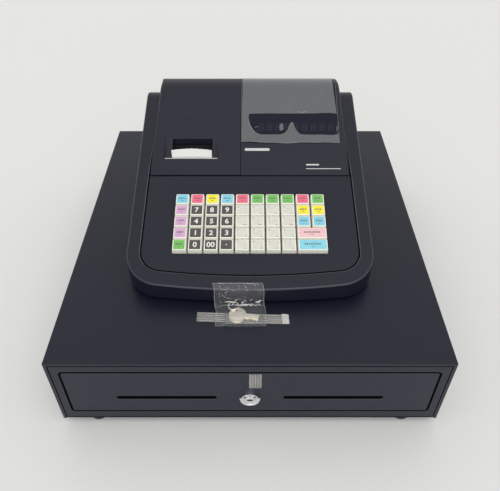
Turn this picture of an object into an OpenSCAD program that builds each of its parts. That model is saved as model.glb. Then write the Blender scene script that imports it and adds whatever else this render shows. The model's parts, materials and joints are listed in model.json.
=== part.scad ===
// Electronic cash register standing on its cash drawer.
// Millimetres. +X right, +Y to the back, +Z up. Origin on the floor, at the centre of the footprint.

/* [Cash drawer case] */
// Width of the drawer case
case_w = 410; // [400:1:430]
// Depth of the drawer case
case_d = 442; // [436:1:460]
// Height of the drawer case, without its feet
case_h = 99; // [98:1:110]
// Thickness of the sheet steel
sheet_t = 1.2; // [1:0.1:1.5]
// Height of the rubber feet
foot_h = 10; // [8:1:14]
// How far the lock stands out of the drawer front
lock_proud = 3.5; // [3:0.5:4]

/* [Register body] */
// Width of the register's housing
reg_w = 273; // [270:1:280]
// Distance from the case front to the register's front
reg_front = 79.5; // [70:0.5:85]
// Height of the rim at the register's front
rim_front_z = 21.7; // [21:0.1:24]
// Slope of the rim and of the keyboard
rim_tilt = 16.8; // [16.5:0.1:17]
// Slope of the printer cover and of the display
cover_tilt = 25; // [24.5:0.5:25.5]
// Wall thickness of the mouldings
wall = 2.5; // [2:0.1:2.6]

/* [Keyboard] */
// Distance between columns of keys
key_px = 17.4; // [17.2:0.1:17.6]
// Distance between rows of keys
key_py = 15.5; // [15.4:0.1:15.8]
// Height of a key cap above the panel
key_rise = 5.5; // [4:0.5:7]
// Travel of a key
key_travel = 3; // [2:0.5:3]

/* [Hidden] */
$fn = 48;

body_black = [0.16, 0.17, 0.19];
steel_black = [0.19, 0.20, 0.22];
plain_steel = [0.70, 0.70, 0.72];
chrome = [0.85, 0.85, 0.86];
rubber_black = [0.06, 0.06, 0.06];
paper_white = [0.95, 0.95, 0.93];
cap_white = [0.90, 0.90, 0.87];
board_green = [0.10, 0.32, 0.18];

// Where the case stands in the row frame
rear_proud = 1.6;
case_front = lock_proud - (lock_proud + case_d + rear_proud) / 2;
case_back = case_front + case_d;
case_top = foot_h + case_h;

// ---------- helpers ----------

// A 2D outline in (y, z) drawn out along x
module along_x(x0, x1) {
    translate([x0, 0, 0]) rotate([90, 0, 90]) linear_extrude(x1 - x0) children();
}

// A cuboid between two corners
module block(low, high) {
    translate(low) cube(high - low);
}

// A cylinder along x from x0 to x1, round (y, z)
module rod_x(x0, x1, y, z, r) {
    translate([x0, y, z]) rotate([0, 90, 0]) cylinder(h = x1 - x0, r = r);
}

// A cylinder along y from y0 to y1, round (x, z)
module rod_y(y0, y1, x, z, r) {
    translate([x, y0, z]) rotate([-90, 0, 0]) cylinder(h = y1 - y0, r = r);
}

// Children on the left and again mirrored on the right
module both_sides() {
    children();
    mirror([1, 0, 0]) children();
}

// Points of an arc in degrees, in n steps
function arc(c, r, a0, a1, n = 12) =
    [for (i = [0:n]) let (a = a0 + (a1 - a0) * i / n) c + r * [cos(a), sin(a)]];

// A rectangle with round corners, centred
module round_rect(w, h, r) {
    square([w - 2 * r, h], center = true);
    square([w, h - 2 * r], center = true);
    for (x = [-1, 1], y = [-1, 1])
        translate([x * (w / 2 - r), y * (h / 2 - r)]) circle(r);
}

// ================= cash drawer =================

hem_w = 3.5;
hem_d = 10;
tray_w = 394;
tray_gap_front = 4.5;
tray_d = 424;
tray_z = foot_h + 6;
tray_h = 70;
front_gap = 1.2;

// Top and both sides in one folded sheet, with a hem round the front opening
module case_shell() {
    color(steel_black) difference() {
        block([-case_w / 2, case_front, foot_h], [case_w / 2, case_back, case_top]);
        block([-case_w / 2 + sheet_t, case_front + hem_d, foot_h - 1],
              [case_w / 2 - sheet_t, case_back + 1, case_top - sheet_t]);
        block([-case_w / 2 + hem_w, case_front - 1, foot_h - 1],
              [case_w / 2 - hem_w, case_front + hem_d + 1, case_top - hem_w]);
    }
}

screw_r = 1.5;
screw_head_r = 3;
screw_play = 0.3;
back_screw_x = [-170, 0, 170];
back_screw_z = case_top - 12;
base_flange = 10;

// Bottom pan with low side flanges and the rear wall
module case_base() {
    inner = case_w / 2 - sheet_t - 0.2;
    hem_x = case_w / 2 - hem_w - 0.2;
    rear = case_back;
    color(steel_black) difference() {
        union() {
            block([-hem_x, case_front + 1, foot_h], [hem_x, case_front + hem_d + 1, foot_h + sheet_t]);
            block([-inner, case_front + hem_d + 0.2, foot_h], [inner, rear, foot_h + sheet_t]);
            block([-inner, rear - sheet_t, foot_h], [inner, rear, case_top - sheet_t - 0.2]);
            both_sides()
                block([inner - sheet_t, case_front + 12, foot_h], [inner, rear, foot_h + base_flange]);
            // flange under the top sheet, which takes the rear screws
            block([-inner, rear - 12, case_top - sheet_t - 1.4],
                  [inner, rear, case_top - sheet_t - 0.2]);
        }
        for (x = back_screw_x)
            rod_y(rear - 3, rear + 1, x, back_screw_z, screw_r + screw_play);
        for (x = [-foot_x, foot_x], y = [foot_front_y, foot_back_y])
            translate([x, y, foot_h - 1]) cylinder(h = 4, r = screw_r + screw_play);
        // outlet of the drawer's release cable
        rod_y(rear - 3, rear + 1, 120, foot_h + 30, 6);
    }
}

foot_r = 11;
foot_x = 169;
foot_front_y = case_front + 14.5;
foot_back_y = case_back - 30;

foot_recess = 5;

module case_feet() {
    color(rubber_black) for (x = [-foot_x, foot_x], y = [foot_front_y, foot_back_y])
        translate([x, y, 0]) rotate_extrude()
            polygon([[foot_r - 6.5, 0], [foot_r - 1.5, 0], [foot_r - 0.5, 1], [foot_r, foot_h],
                     [screw_r + screw_play, foot_h], [screw_r + screw_play, foot_recess],
                     [foot_r - 6.5, foot_recess]]);
}

ledge_z = 41.5;
roller_r = 6;
roller_w = 3.4;
roller_x = 201;
roller_z = ledge_z + roller_r + 0.1;
front_roller_y = case_front + 26;
rear_roller_y = case_front + 405;
lip_z = roller_z + roller_r + 0.2;
lip_x = 201.1;

// Fixed rails: an angle on each side, its ledge carrying the rear rollers
module slide_rails() {
    color(plain_steel) both_sides() difference() {
        union() {
            block([202.9, case_front + 14, ledge_z - 12], [203.7, case_back - 6, lip_z + 6]);
            block([198.4, case_front + 14, ledge_z - sheet_t], [203.7, case_back - 6, ledge_z]);
            // axle stub of the front roller
            rod_x(199, 203, front_roller_y, roller_z, 1.5);
        }
    }
}

module roller(y) {
    both_sides() difference() {
        rod_x(roller_x - roller_w / 2, roller_x + roller_w / 2, y, roller_z, roller_r);
        rod_x(roller_x - roller_w, roller_x + roller_w, y, roller_z, 1.56);
    }
}

module front_rollers() {
    color(cap_white) roller(front_roller_y);
}

module rear_rollers() {
    color(cap_white) roller(rear_roller_y);
}

// Open steel box, with a lip on each side that runs on the front rollers
module drawer_tray() {
    y0 = case_front + tray_gap_front;
    y1 = y0 + tray_d;
    w = tray_w / 2;
    color(steel_black) difference() {
        union() {
            difference() {
                block([-w, y0, tray_z], [w, y1, tray_z + tray_h]);
                block([-w + 1, y0 + 1, tray_z + 1], [w - 1, y1 - 1, tray_z + tray_h + 1]);
            }
            both_sides() {
                block([w - 1, y0 + 12, lip_z], [lip_x, y1, lip_z + 1]);
                // axle stub of the rear roller
                rod_x(w - 1, 202.6, rear_roller_y, roller_z, 1.5);
            }
            // striker that the latch holds
            block([-6, y1 - 1, tray_z + 24], [6, y1 + 5, tray_z + 26]);
        }
        for (x = [-1, 1])
            block([x * slot_x - slot_w / 2 - 2, y0 - 1, slot_z - 4],
                  [x * slot_x + slot_w / 2 + 2, y0 + 2, slot_z + 4]);
        rod_y(y0 - 1, y0 + 2, 0, lock_z, lock_body_r + 0.3);
    }
}

front_w = case_w / 2 - hem_w - front_gap;
front_z0 = foot_h + 3.2;
front_z1 = case_top - hem_w - front_gap;
front_t = 4;
groove_w = 2.6;
groove_depth = 1.6;
panel_w = 386;
panel_h = 72.6;
panel_z = case_top - 50;
panel_r = 5;
slot_x = 87.6;
slot_w = 105.5;
slot_z = case_top - 58.9;
slot_h = 5.2;
lock_z = case_top - 58.9;
lock_body_r = 9;
lock_r = 11;

// Moulded drawer front with a raised panel line and two media slots
module drawer_front() {
    y0 = case_front + 0.3;
    y1 = y0 + front_t;
    color(body_black) difference() {
        block([-front_w, y0, front_z0], [front_w, y1, front_z1]);
        translate([0, y0 + groove_depth, panel_z]) rotate([90, 0, 0])
            linear_extrude(groove_depth + 1) difference() {
                round_rect(panel_w, panel_h, panel_r);
                round_rect(panel_w - 2 * groove_w, panel_h - 2 * groove_w, panel_r - groove_w);
            }
        for (x = [-1, 1]) {
            translate([x * slot_x, y1 + 1, slot_z]) rotate([90, 0, 0])
                linear_extrude(front_t + 2) round_rect(slot_w, slot_h, slot_h / 2 - 0.01);
            // bevelled lower lip of the slot
            along_x(x * slot_x - slot_w / 2 + 2, x * slot_x + slot_w / 2 - 2)
                polygon([[y0 - 0.1, slot_z - 3.6], [y1 - 1, slot_z - 1.6], [y1 - 1, slot_z],
                         [y0 - 0.1, slot_z]]);
        }
        rod_y(y0 - 1, y1 + 1, 0, lock_z, lock_body_r + 0.3);
    }
}

// Chromed collar and barrel that hold the lock cylinder
module lock_bezel() {
    face = case_front - lock_proud;
    color(chrome) difference() {
        union() {
            translate([0, face, lock_z]) rotate([-90, 0, 0]) rotate_extrude()
                polygon([[0, 0.7], [7.4, 0.7], [8, 0], [lock_r - 1.2, 0], [lock_r, 1.4],
                         [lock_r, lock_proud + 0.2], [0, lock_proud + 0.2]]);
            rod_y(face + 1, face + 24, 0, lock_z, lock_body_r);
        }
        rod_y(face - 1, face + 25, 0, lock_z, 6.06);
    }
}

// Turning plug with its keyway, and the cam on its tail
module lock_cylinder() {
    face = case_front - lock_proud;
    color(chrome) {
        difference() {
            rod_y(face + 0.4, face + 26, 0, lock_z, 6);
            block([-3.6, face - 1, lock_z - 0.8], [3.6, face + 12, lock_z + 0.8]);
            block([-0.9, face - 1, lock_z - 1.8], [0.9, face + 12, lock_z]);
        }
        rod_y(face + 26, face + 28, 0, lock_z, 7);
        block([-4, face + 26, lock_z - 22], [4, face + 28, lock_z]);
    }
}

latch_y = case_back - 8;
latch_z = tray_z + 42;

// Hook that holds the drawer's striker, drawn in its released position
module latch_hook() {
    color(plain_steel) difference() {
        union() {
            rod_x(-3, 3, latch_y, latch_z, 4);
            block([-2, latch_y - 1.5, latch_z - 14], [2, latch_y + 1.5, latch_z]);
            block([-2, latch_y - 4.5, latch_z - 14], [2, latch_y, latch_z - 11]);
            block([-2, latch_y - 1.5, latch_z], [2, latch_y + 1.5, latch_z + 12]);
        }
        rod_x(-6, 6, latch_y, latch_z, 1.56);
    }
}

// Release magnet with the bracket and the pin of the latch
module solenoid() {
    y1 = case_back - sheet_t - 0.1;
    color(plain_steel) {
        rod_x(-9, 9, latch_y, latch_z, 1.5);
        both_sides() block([7, latch_y - 4, latch_z - 6], [9, y1, latch_z + 6]);
        difference() {
            block([-30, y1 - 11, latch_z + 13.5], [-12, y1, latch_z + 31]);
            rod_x(-40, -25, y1 - 5.5, latch_z + 22, 2.5);
        }
        block([-12, y1 - 8, latch_z + 14], [9, y1, latch_z + 16]);
        block([7, y1 - 8, latch_z + 5], [9, y1, latch_z + 16]);
    }
}

// Closed coil that throws the drawer open
module kick_spring() {
    wire = 1.2;
    coil_r = 6;
    turns = 4;
    y0 = case_front + tray_gap_front + tray_d + 0.8;
    color(plain_steel) for (i = [0:turns - 1])
        translate([90, y0 + wire + i * 2 * wire * 0.9, tray_z + 30]) rotate([-90, 0, 0])
            rotate_extrude() translate([coil_r, 0]) circle(wire, $fn = 24);
}

insert_w = 376;
insert_y0 = case_front + 32;
insert_y1 = case_front + tray_gap_front + tray_d - 6;
insert_z0 = tray_z + 13;
insert_z1 = tray_z + 64;
insert_t = 2;
note_wells = 4;
note_y0 = insert_y0 + 172;
well_w = (insert_w - (note_wells + 1) * insert_t) / note_wells;

// Centre of a note well, counted from the left
function well_x(i) = -insert_w / 2 + insert_t + well_w / 2 + i * (well_w + insert_t);

// Cash tray: four note wells at the back, a bay for the coin tray in front
module till_insert() {
    color([0.13, 0.13, 0.14]) {
        difference() {
            block([-insert_w / 2, insert_y0, insert_z0], [insert_w / 2, insert_y1, insert_z1]);
            for (i = [0:note_wells - 1])
                block([well_x(i) - well_w / 2, note_y0, insert_z0 + insert_t],
                      [well_x(i) + well_w / 2, insert_y1 - insert_t, insert_z1 + 1]);
            block([-insert_w / 2 + insert_t, insert_y0 + insert_t, insert_z0 + insert_t],
                  [insert_w / 2 - insert_t, note_y0 - insert_t, insert_z1 + 1]);
            // seats of the clip pivots
            for (i = [0:note_wells - 1])
                rod_x(well_x(i) - well_w / 2 - 0.9, well_x(i) + well_w / 2 + 0.9,
                      clip_y, clip_z, 1.06);
        }
        // runners that hold the insert clear of the tray floor
        both_sides() for (y = [insert_y0 + 20, insert_y1 - 40])
            block([insert_w / 2 - 14, y, tray_z + 1.1], [insert_w / 2 - 4, y + 16, insert_z0]);
    }
}

coin_cols = 4;
coin_rows = 2;
coin_z0 = insert_z0 + insert_t + 0.3;
coin_z1 = insert_z1 - 2;
coin_w = insert_w - 2 * insert_t - 2;
coin_y0 = insert_y0 + insert_t + 1;
coin_y1 = note_y0 - insert_t - 1;
cup_w = (coin_w - (coin_cols + 1) * insert_t) / coin_cols;
cup_d = (coin_y1 - coin_y0 - (coin_rows + 1) * insert_t) / coin_rows;

// Lift-out tray of eight coin cups
module coin_tray() {
    color([0.15, 0.15, 0.16]) difference() {
        block([-coin_w / 2, coin_y0, coin_z0], [coin_w / 2, coin_y1, coin_z1]);
        for (i = [0:coin_cols - 1], j = [0:coin_rows - 1])
            translate([-coin_w / 2 + insert_t + i * (cup_w + insert_t),
                       coin_y0 + insert_t + j * (cup_d + insert_t), coin_z0 + insert_t])
                cube([cup_w, cup_d, coin_z1 - coin_z0]);
    }
}

clip_y = insert_y1 - 70;
clip_z = insert_z1 - 6;
clip_len = 50;
clip_droop = 44;

// Note clip: a pivot wire, a sloping arm and its foot
module bill_clip(i) {
    color(plain_steel) {
        rod_x(well_x(i) - well_w / 2 - 0.7, well_x(i) + well_w / 2 + 0.7, clip_y, clip_z, 1);
        translate([well_x(i), clip_y, clip_z]) rotate([clip_droop, 0, 0]) {
            block([-6, -clip_len, -0.6], [6, 2, 0.6]);
            block([-14, -clip_len - 8, -0.6], [14, -clip_len + 0.1, 0.6]);
        }
    }
}

key_bow_r = 9.2;
key_blade = 13.5;
key_blade_w = 4.4;
key_thick = 2;
key_hole_r = 2;
key_hole_at = [-2.5, 5.6];
key_ring_r = 5.6;
key_wire_r = 0.7;

// One flat key, its bow at the origin and its blade along +x
module flat_key() {
    difference() {
        union() {
            cylinder(h = key_thick, r = key_bow_r);
            block([key_bow_r - 2, -key_blade_w / 2, 0],
                  [key_bow_r + key_blade, key_blade_w / 2, key_thick]);
        }
        translate([key_hole_at[0], key_hole_at[1], -1]) cylinder(h = key_thick + 2, r = key_hole_r);
        for (cut = [[2.5, 1.0], [5, 1.6], [7.5, 0.8], [10, 1.3]])
            block([key_bow_r + cut[0], -key_blade_w, -1],
                  [key_bow_r + cut[0] + 1.4, cut[1] - key_blade_w / 2, key_thick + 1]);
    }
}

// The pair of lock keys on their ring, lying on the case
module lock_keys() {
    color(plain_steel) translate([-13.6, case_front + 60, case_top + 0.1]) {
        rotate([0, 0, -12]) flat_key();
        translate([0.6, 1, key_thick + 0.1]) rotate([0, 0, -8]) flat_key();
        translate([-4, 12, 2 * key_thick + key_wire_r + 0.2]) rotate_extrude()
            translate([key_ring_r, 0]) circle(key_wire_r, $fn = 24);
    }
}

// ================= register =================
// These modules are drawn with y from the case front and z from the case top.

module on_case() {
    translate([0, case_front, case_top]) children();
}

base_z = 3;
split_z = 8;
bow = 0.000568;
front_r = 40;
rim_side = 14.6;
rim_front = 16.5;
deck_r = 25;
deck_w = reg_w / 2 - rim_side;
deck_front = reg_front + rim_front;
wing_y = 351.4;
wing_r = 25;
back_top_z = 48;
rear_screw_x = [-60, 60];
rear_screw_z = 30;
inlet_x = 92;
inlet_z = 26;
inlet_r = 5;

function rim_z(y) = rim_front_z + (y - reg_front) * tan(rim_tilt);
wing_c = [wing_y + wing_r * sin(rim_tilt), rim_z(wing_y) - wing_r * cos(rim_tilt)];
reg_back = wing_c[0] + wing_r;

// Half of a plan outline: bowed front, round front corner, straight side
function plan_half(hw, front, r, back) =
    let (px = hw - r + 0.115 * r, lean = atan(2 * bow * px),
         cy = front + bow * px * px + r * cos(lean))
    concat([for (i = [0:10]) let (x = px * i / 10) [x, front + bow * x * x]],
           arc([hw - r, cy], r, lean - 90, 0, 14),
           [[hw, back]]);

// Closed plan outline, mirrored about x = 0
module plan(hw, front, r, back) {
    half = plan_half(hw, front, r, back);
    polygon(concat(half, [for (i = [len(half) - 1:-1:1]) [-half[i][0], half[i][1]]]));
}

// Side outline of the rim, moved in by d, from height z0 up
module rim_profile(d, z0) {
    polygon(concat(
        [[reg_front + d, z0], [reg_front + d, rim_z(reg_front + d) - d / cos(rim_tilt)]],
        arc(wing_c, wing_r - d, 90 + rim_tilt, 0, 18),
        [[reg_back - d, z0]]));
}

tall = 130;
reach = 150;

// Upper moulding: the sloping rim round the keyboard, with side wings and a low back wall
module upper_shell() {
    difference() {
        intersection() {
            linear_extrude(tall) plan(reg_w / 2, reg_front, front_r, reg_back);
            along_x(-reach, reach) rim_profile(0, split_z + 0.3);
        }
        intersection() {
            linear_extrude(tall)
                plan(reg_w / 2 - wall, reg_front + wall, front_r - wall, reg_back - wall);
            along_x(-reach, reach) rim_profile(wall, 0);
        }
        intersection() {
            union() {
                linear_extrude(tall) plan(deck_w, deck_front, deck_r, reg_back - 12);
                block([-deck_w, 300, back_top_z - 0.3], [deck_w, reg_back + 1, tall]);
            }
            between_sides(-deck_gap);
        }
        for (x = rear_screw_x)
            rod_y(reg_back - 5, reg_back + 2, x, rear_screw_z, screw_r + screw_play);
        rod_y(reg_back - 5, reg_back + 2, inlet_x, inlet_z, inlet_r + 0.1);
    }
}

bow_end = 130;
wall_start = reg_back - 12;

// The upper moulding in four simple stretches that meet face to face
module upper_case() {
    color(body_black) on_case() {
        intersection() {
            upper_shell();
            block([-reach, 0, 0], [reach, bow_end, tall]);
        }
        for (side = [-reach, 0]) intersection() {
            upper_shell();
            block([side, bow_end, 0], [side + reach, wall_start, tall]);
        }
        intersection() {
            upper_shell();
            block([-reach, wall_start, 0], [reach, reg_back + 1, tall]);
        }
    }
}

// Bottom pan of the register, with screw bosses and the cable side wall
module lower_case() {
    inset = 1;
    color(body_black) on_case() difference() {
        translate([0, 0, base_z]) linear_extrude(split_z - base_z)
            plan(reg_w / 2 - inset, reg_front + inset, front_r - inset, reg_back - inset);
        translate([0, 0, base_z + wall]) linear_extrude(split_z)
            plan(reg_w / 2 - inset - wall, reg_front + inset + wall, front_r - inset - wall,
                 reg_back - inset - wall);
    }
}

module register_feet() {
    color(rubber_black) on_case() for (x = [-110, 110], y = [130, 350])
        translate([x, y, 0]) cylinder(h = base_z, r = 8);
}

seam_y = 226.7;
deck_drop = 0.6;
seam_gap = 0.8;
deck_gap = 0.7;
key_rows = 5;
key_cols = 10;
key_w = 16.2;
key_l = 15;
key_center_y = 160;
field_w = (key_cols - 1) * key_px + key_w;
field_l = (key_rows - 1) * key_py + key_l;

// Frame of the keyboard: origin at the middle of the key field, z square to the panel
module on_deck() {
    on_case() translate([0, key_center_y, rim_z(key_center_y)]) rotate([rim_tilt, 0, 0]) children();
}

// Sloping panel round the keys
module keyboard_panel() {
    square_in = [sin(rim_tilt), -cos(rim_tilt)];
    seam = [seam_y, rim_z(seam_y)];
    start = [deck_front - 5, rim_z(deck_front - 5)];
    color(body_black) difference() {
        on_case() intersection() {
            linear_extrude(tall) plan(deck_w - deck_gap, deck_front + deck_gap, deck_r - deck_gap,
                                     seam_y - seam_gap / 2);
            along_x(-reach, reach) polygon([
                start + deck_drop * square_in, seam + deck_drop * square_in,
                seam + (deck_drop + wall) * square_in, start + (deck_drop + wall) * square_in]);
        }
        on_deck() translate([0, 0, -20]) linear_extrude(40)
            round_rect(field_w + 1.6, field_l + 1.6, 2);
    }
}

function key_x(col) = (col - (key_cols - 1) / 2) * key_px;
function key_y(row) = ((key_rows - 1) / 2 - row) * key_py;

cap_skirt = 4;
cap_draft = 0.6;

// Key cap with sloping sides and a round stem, n columns wide
module key_cap(col, row, n = 1) {
    w = key_w + (n - 1) * key_px;
    x0 = key_x(col) - key_w / 2;
    y0 = key_y(row) - key_l / 2;
    on_deck() {
        intersection() {
            translate([0, y0 + key_l, 0]) rotate([90, 0, 0]) linear_extrude(key_l)
                polygon([[x0, -cap_skirt], [x0 + w, -cap_skirt], [x0 + w, 0],
                         [x0 + w - cap_draft, key_rise], [x0 + cap_draft, key_rise], [x0, 0]]);
            along_x(x0 - 1, x0 + w + 1)
                polygon([[y0, -cap_skirt], [y0 + key_l, -cap_skirt], [y0 + key_l, 0],
                         [y0 + key_l - cap_draft, key_rise], [y0 + cap_draft, key_rise], [y0, 0]]);
        }
        translate([x0 + w / 2, y0 + key_l / 2, -cap_skirt - 3]) cylinder(h = 3.1, r = 2.2);
    }
}

module one_key(col, row, n = 1) {
    color(cap_white) key_cap(col, row, n);
}

module department_keys() {
    color(cap_white) for (c = [4:7], r = [1:4]) key_cap(c, r);
}

module top_row_keys() {
    color(cap_white) for (c = [0:9]) key_cap(c, 0);
}

module side_keys() {
    color(cap_white) {
        for (r = [1:4]) key_cap(0, r);
        for (c = [8, 9], r = [1, 2]) key_cap(c, r);
    }
}

sheet_top = -cap_skirt - key_travel - 0.3;

// Holes of the dome sheet: one under each key stem
module stem_spots() {
    for (c = [0:7], r = [0:4]) translate([key_x(c), key_y(r)]) children();
    for (c = [8, 9], r = [0:2]) translate([key_x(c), key_y(r)]) children();
    for (r = [3, 4]) translate([key_x(8) + key_px / 2, key_y(r)]) children();
}

// Silicone sheet with a collar under each key
module dome_sheet() {
    color([0.8, 0.8, 0.78]) on_deck() translate([0, 0, sheet_top - 3.6]) difference() {
        union() {
            linear_extrude(1) square([field_w + 8, field_l + 8], center = true);
            linear_extrude(3.4) stem_spots() circle(4.4);
        }
        translate([0, 0, 0.4]) linear_extrude(4) stem_spots() circle(2.8);
    }
}

module keyboard_board() {
    color(board_green) on_deck() translate([0, 0, sheet_top - 5.4]) {
        linear_extrude(1.6) square([field_w + 14, field_l + 14], center = true);
        translate([-60, -field_l / 2, -2.2]) cube([30, 8, 2.1]);
    }
}

// ---------- printer and display covers ----------

cover_end = [341.4, rim_z(seam_y) + (341.4 - seam_y) * tan(cover_tilt)];
cover_r = 38.9;
cover_c = cover_end + cover_r * [sin(cover_tilt), -cos(cover_tilt)];
back_y = cover_c[0] + cover_r;
split_x = -11.4;
split_gap = 0.6;
cover_w = deck_w - deck_gap;
hinge_a = 67.8;
hinge_in = 2.2;
hinge = cover_c + (cover_r - hinge_in) * [cos(hinge_a), sin(hinge_a)];
pin_r = 1;
barrel_r = 2.2;
strip_a = 62.4;

cover_lean = 0.04;
end_margin = 8;

function cover_z(y) = rim_z(seam_y) + (y - seam_y) * tan(cover_tilt);

// Half width of the covers, which narrow towards the back
function side_x(y) = cover_w - cover_lean * (y - seam_y);

// Everything between the leaning sides of the covers, moved in by d
module between_sides(d) {
    y0 = reg_front - end_margin;
    y1 = back_y + end_margin;
    linear_extrude(tall) polygon([[d - side_x(y0), y0], [side_x(y0) - d, y0],
                                  [side_x(y1) - d, y1], [d - side_x(y1), y1]]);
}

// Side wall of a cover, cut from the solid between the leaning sides
module side_wall() {
    intersection() {
        children();
        difference() {
            between_sides(0);
            translate([0, 0, -1]) scale([1, 1, 1.1]) between_sides(wall);
        }
    }
}

// Skin of the cover from the seam round to angle a1, between depths d0 and d1
module cover_skin(d0, d1, a1, y_start = seam_y) {
    n = [-sin(cover_tilt), cos(cover_tilt)];
    first = [y_start, cover_z(y_start)];
    polygon(concat([first - d0 * n],
                   arc(cover_c, cover_r - d0, 90 + cover_tilt, a1, 20),
                   arc(cover_c, cover_r - d1, a1, 90 + cover_tilt, 20),
                   [first - d1 * n]));
}

// Outline under the cover's surface, moved in by d, from the seam to the back at height z0
module cover_profile(d, z0) {
    y0 = seam_y + seam_gap / 2 + d;
    polygon(concat([[y0, z0], [y0, cover_z(y0) - d / cos(cover_tilt)]],
                   arc(cover_c, cover_r - d, 90 + cover_tilt, 0, 24),
                   [[back_y - d, z0]]));
}

window_x0 = -95.8;
window_x1 = -46.2;
window_y0 = 250.2;
window_y1 = 274.4;
recess_x0 = -105.4;
recess_x1 = -38.6;
recess_y0 = 247.4;
recess_y1 = 277;
recess_deep = 4;
side_skirt = 6;

// Frame of the cover's flat: y along the slope from the seam, z square to it
module on_cover() {
    on_case() translate([0, seam_y, rim_z(seam_y)]) rotate([cover_tilt, 0, 0]) children();
}

function slope_y(y) = (y - seam_y) / cos(cover_tilt);

// Hinged cover over the printer, with the paper window and its scooped recess
side_run = 12;

// Outline of the printer cover's side walls
module cover_cheek(start) {
    polygon(concat([[start + 2, rim_z(start + 2) - side_skirt], [start, cover_z(start)]],
                   arc(cover_c, cover_r, 90 + cover_tilt, 74, 10),
                   [cover_c + (cover_r - 14) * [cos(74), sin(74)],
                    [cover_end[0], rim_z(cover_end[0]) - side_skirt + 8]]));
}

module printer_cover() {
    x0 = -cover_w;
    x1 = split_x - split_gap / 2;
    start = seam_y + seam_gap / 2;
    color(body_black) difference() {
        union() {
            on_case() {
                intersection() {
                    union() {
                        along_x(x0, x1) cover_skin(0, wall, hinge_a, start);
                        rod_x(x0, x1, hinge[0], hinge[1], barrel_r);
                    }
                    between_sides(0);
                }
                side_wall() along_x(x0, x0 + side_run) cover_cheek(start);
                along_x(x1 - wall, x1) cover_cheek(start);
            }
            // thicker patch that carries the recess
            on_cover() block([recess_x0 - 2.5, slope_y(recess_y0) - 3, -8],
                             [recess_x1 + 2.5, slope_y(recess_y1) + 3, -wall + 0.1]);
        }
        on_cover() {
            along_x(recess_x0, recess_x1) polygon([
                [slope_y(recess_y0), 1], [slope_y(recess_y0), -recess_deep],
                [slope_y(recess_y1), 0], [slope_y(recess_y1), 1]]);
        }
        on_case() {
            block([window_x0, window_y0, 60], [window_x1, window_y1, 100]);
            rod_x(x0 - 1, x1 + 1, hinge[0], hinge[1], pin_r + 0.06);
            for (x = ear_x)
                rod_x(x - 0.3, x + ear_t + 0.3, hinge[0], hinge[1], 4.2);
        }
    }
}

ear_t = 3;
ear_x = [-cover_w + 10, split_x - 8];

module hinge_pin() {
    color(plain_steel) on_case()
        rod_x(-cover_w + 7, split_x - 2.5, hinge[0], hinge[1], pin_r);
}

teeth = 42;
bar_t = 1.2;

// Toothed strip across the lower edge of the paper window
module tear_bar() {
    x0 = recess_x0 + 0.8;
    step = (recess_x1 - recess_x0 - 1.6) / teeth;
    foot = -recess_deep * (1 - bar_t / (slope_y(recess_y1) - slope_y(recess_y0)));
    color(plain_steel) on_cover() translate([0, slope_y(recess_y0) + bar_t, 0]) rotate([90, 0, 0])
        linear_extrude(bar_t - 0.05) polygon(concat(
            [[x0, foot], [x0, 0]],
            [for (i = [0:teeth - 1]) each [[x0 + (i + 0.5) * step, 0.8], [x0 + (i + 1) * step, 0]]],
            [[x0 + teeth * step, foot]]));
}

platen_y = 257;
platen_z = 56;
platen_r = 5;
paper_w = 48.8;
paper_x = (window_x0 + window_x1) / 2;
paper_t = 0.3;
roll_y = 305;
roll_z = 42;
roll_r = 24;
web_r = platen_r + 0.3;
stub = 10.8;
tip_z = cover_z(251) + stub;

// Paper from the roll, under the platen, up through the window to its torn edge
module receipt_paper() {
    c = [platen_y, platen_z];
    start = [roll_y - 8, roll_z - roll_r - 0.5];
    tip = [platen_y - web_r - 0.6, tip_z];
    inner = concat([start], arc(c, web_r, 262, 180, 10), [tip]);
    outer = concat([tip + [-paper_t, 0]], arc(c, web_r + paper_t, 180, 262, 10),
                   [start + [0, -paper_t]]);
    color(paper_white) on_case()
        along_x(paper_x - paper_w / 2, paper_x + paper_w / 2) polygon(concat(inner, outer));
}

module paper_roll() {
    color(paper_white) on_case() difference() {
        rod_x(paper_x - paper_w / 2, paper_x + paper_w / 2, roll_y, roll_z, roll_r);
        rod_x(paper_x - 40, paper_x + 40, roll_y, roll_z, 6.06);
    }
}

frame_x0 = paper_x - 30;
frame_x1 = paper_x + 30;
guide_y = 275.5;
guide_top = 78;

// Chassis of the printer: floor, two cheeks and the spindle of the roll
module printer_frame() {
    color([0.25, 0.25, 0.26]) on_case() difference() {
        union() {
            block([frame_x0, 242, 9.5], [frame_x1, 335, 11.5]);
            for (x = [frame_x0, frame_x1 - 2])
                along_x(x, x + 2) polygon([[242, 10], [335, 10], [335, 52], [305, 56],
                                           [268, 66], [242, 66]]);
            rod_x(frame_x0, frame_x1, roll_y, roll_z, 6);
            // guide between the platen and the roll
            block([frame_x0, guide_y, platen_z + 1], [frame_x1, guide_y + 2, guide_top]);
        }
        rod_x(frame_x0 - 1, frame_x1 + 1, platen_y, platen_z, 2.06);
        rod_x(frame_x0 - 1, frame_x1 + 1, roll_y, roll_z, 3);
    }
}

// Heated bar that the paper runs against
module print_head() {
    nip = platen_y - platen_r - 0.3 - paper_t - 0.3;
    color([0.75, 0.75, 0.77]) on_case() {
        block([frame_x0 + 2.2, nip - 3, 50], [frame_x1 - 2.2, nip, 64]);
        block([frame_x0 + 6, nip - 7, 44], [frame_x1 - 6, nip - 3, 60]);
    }
}

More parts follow.
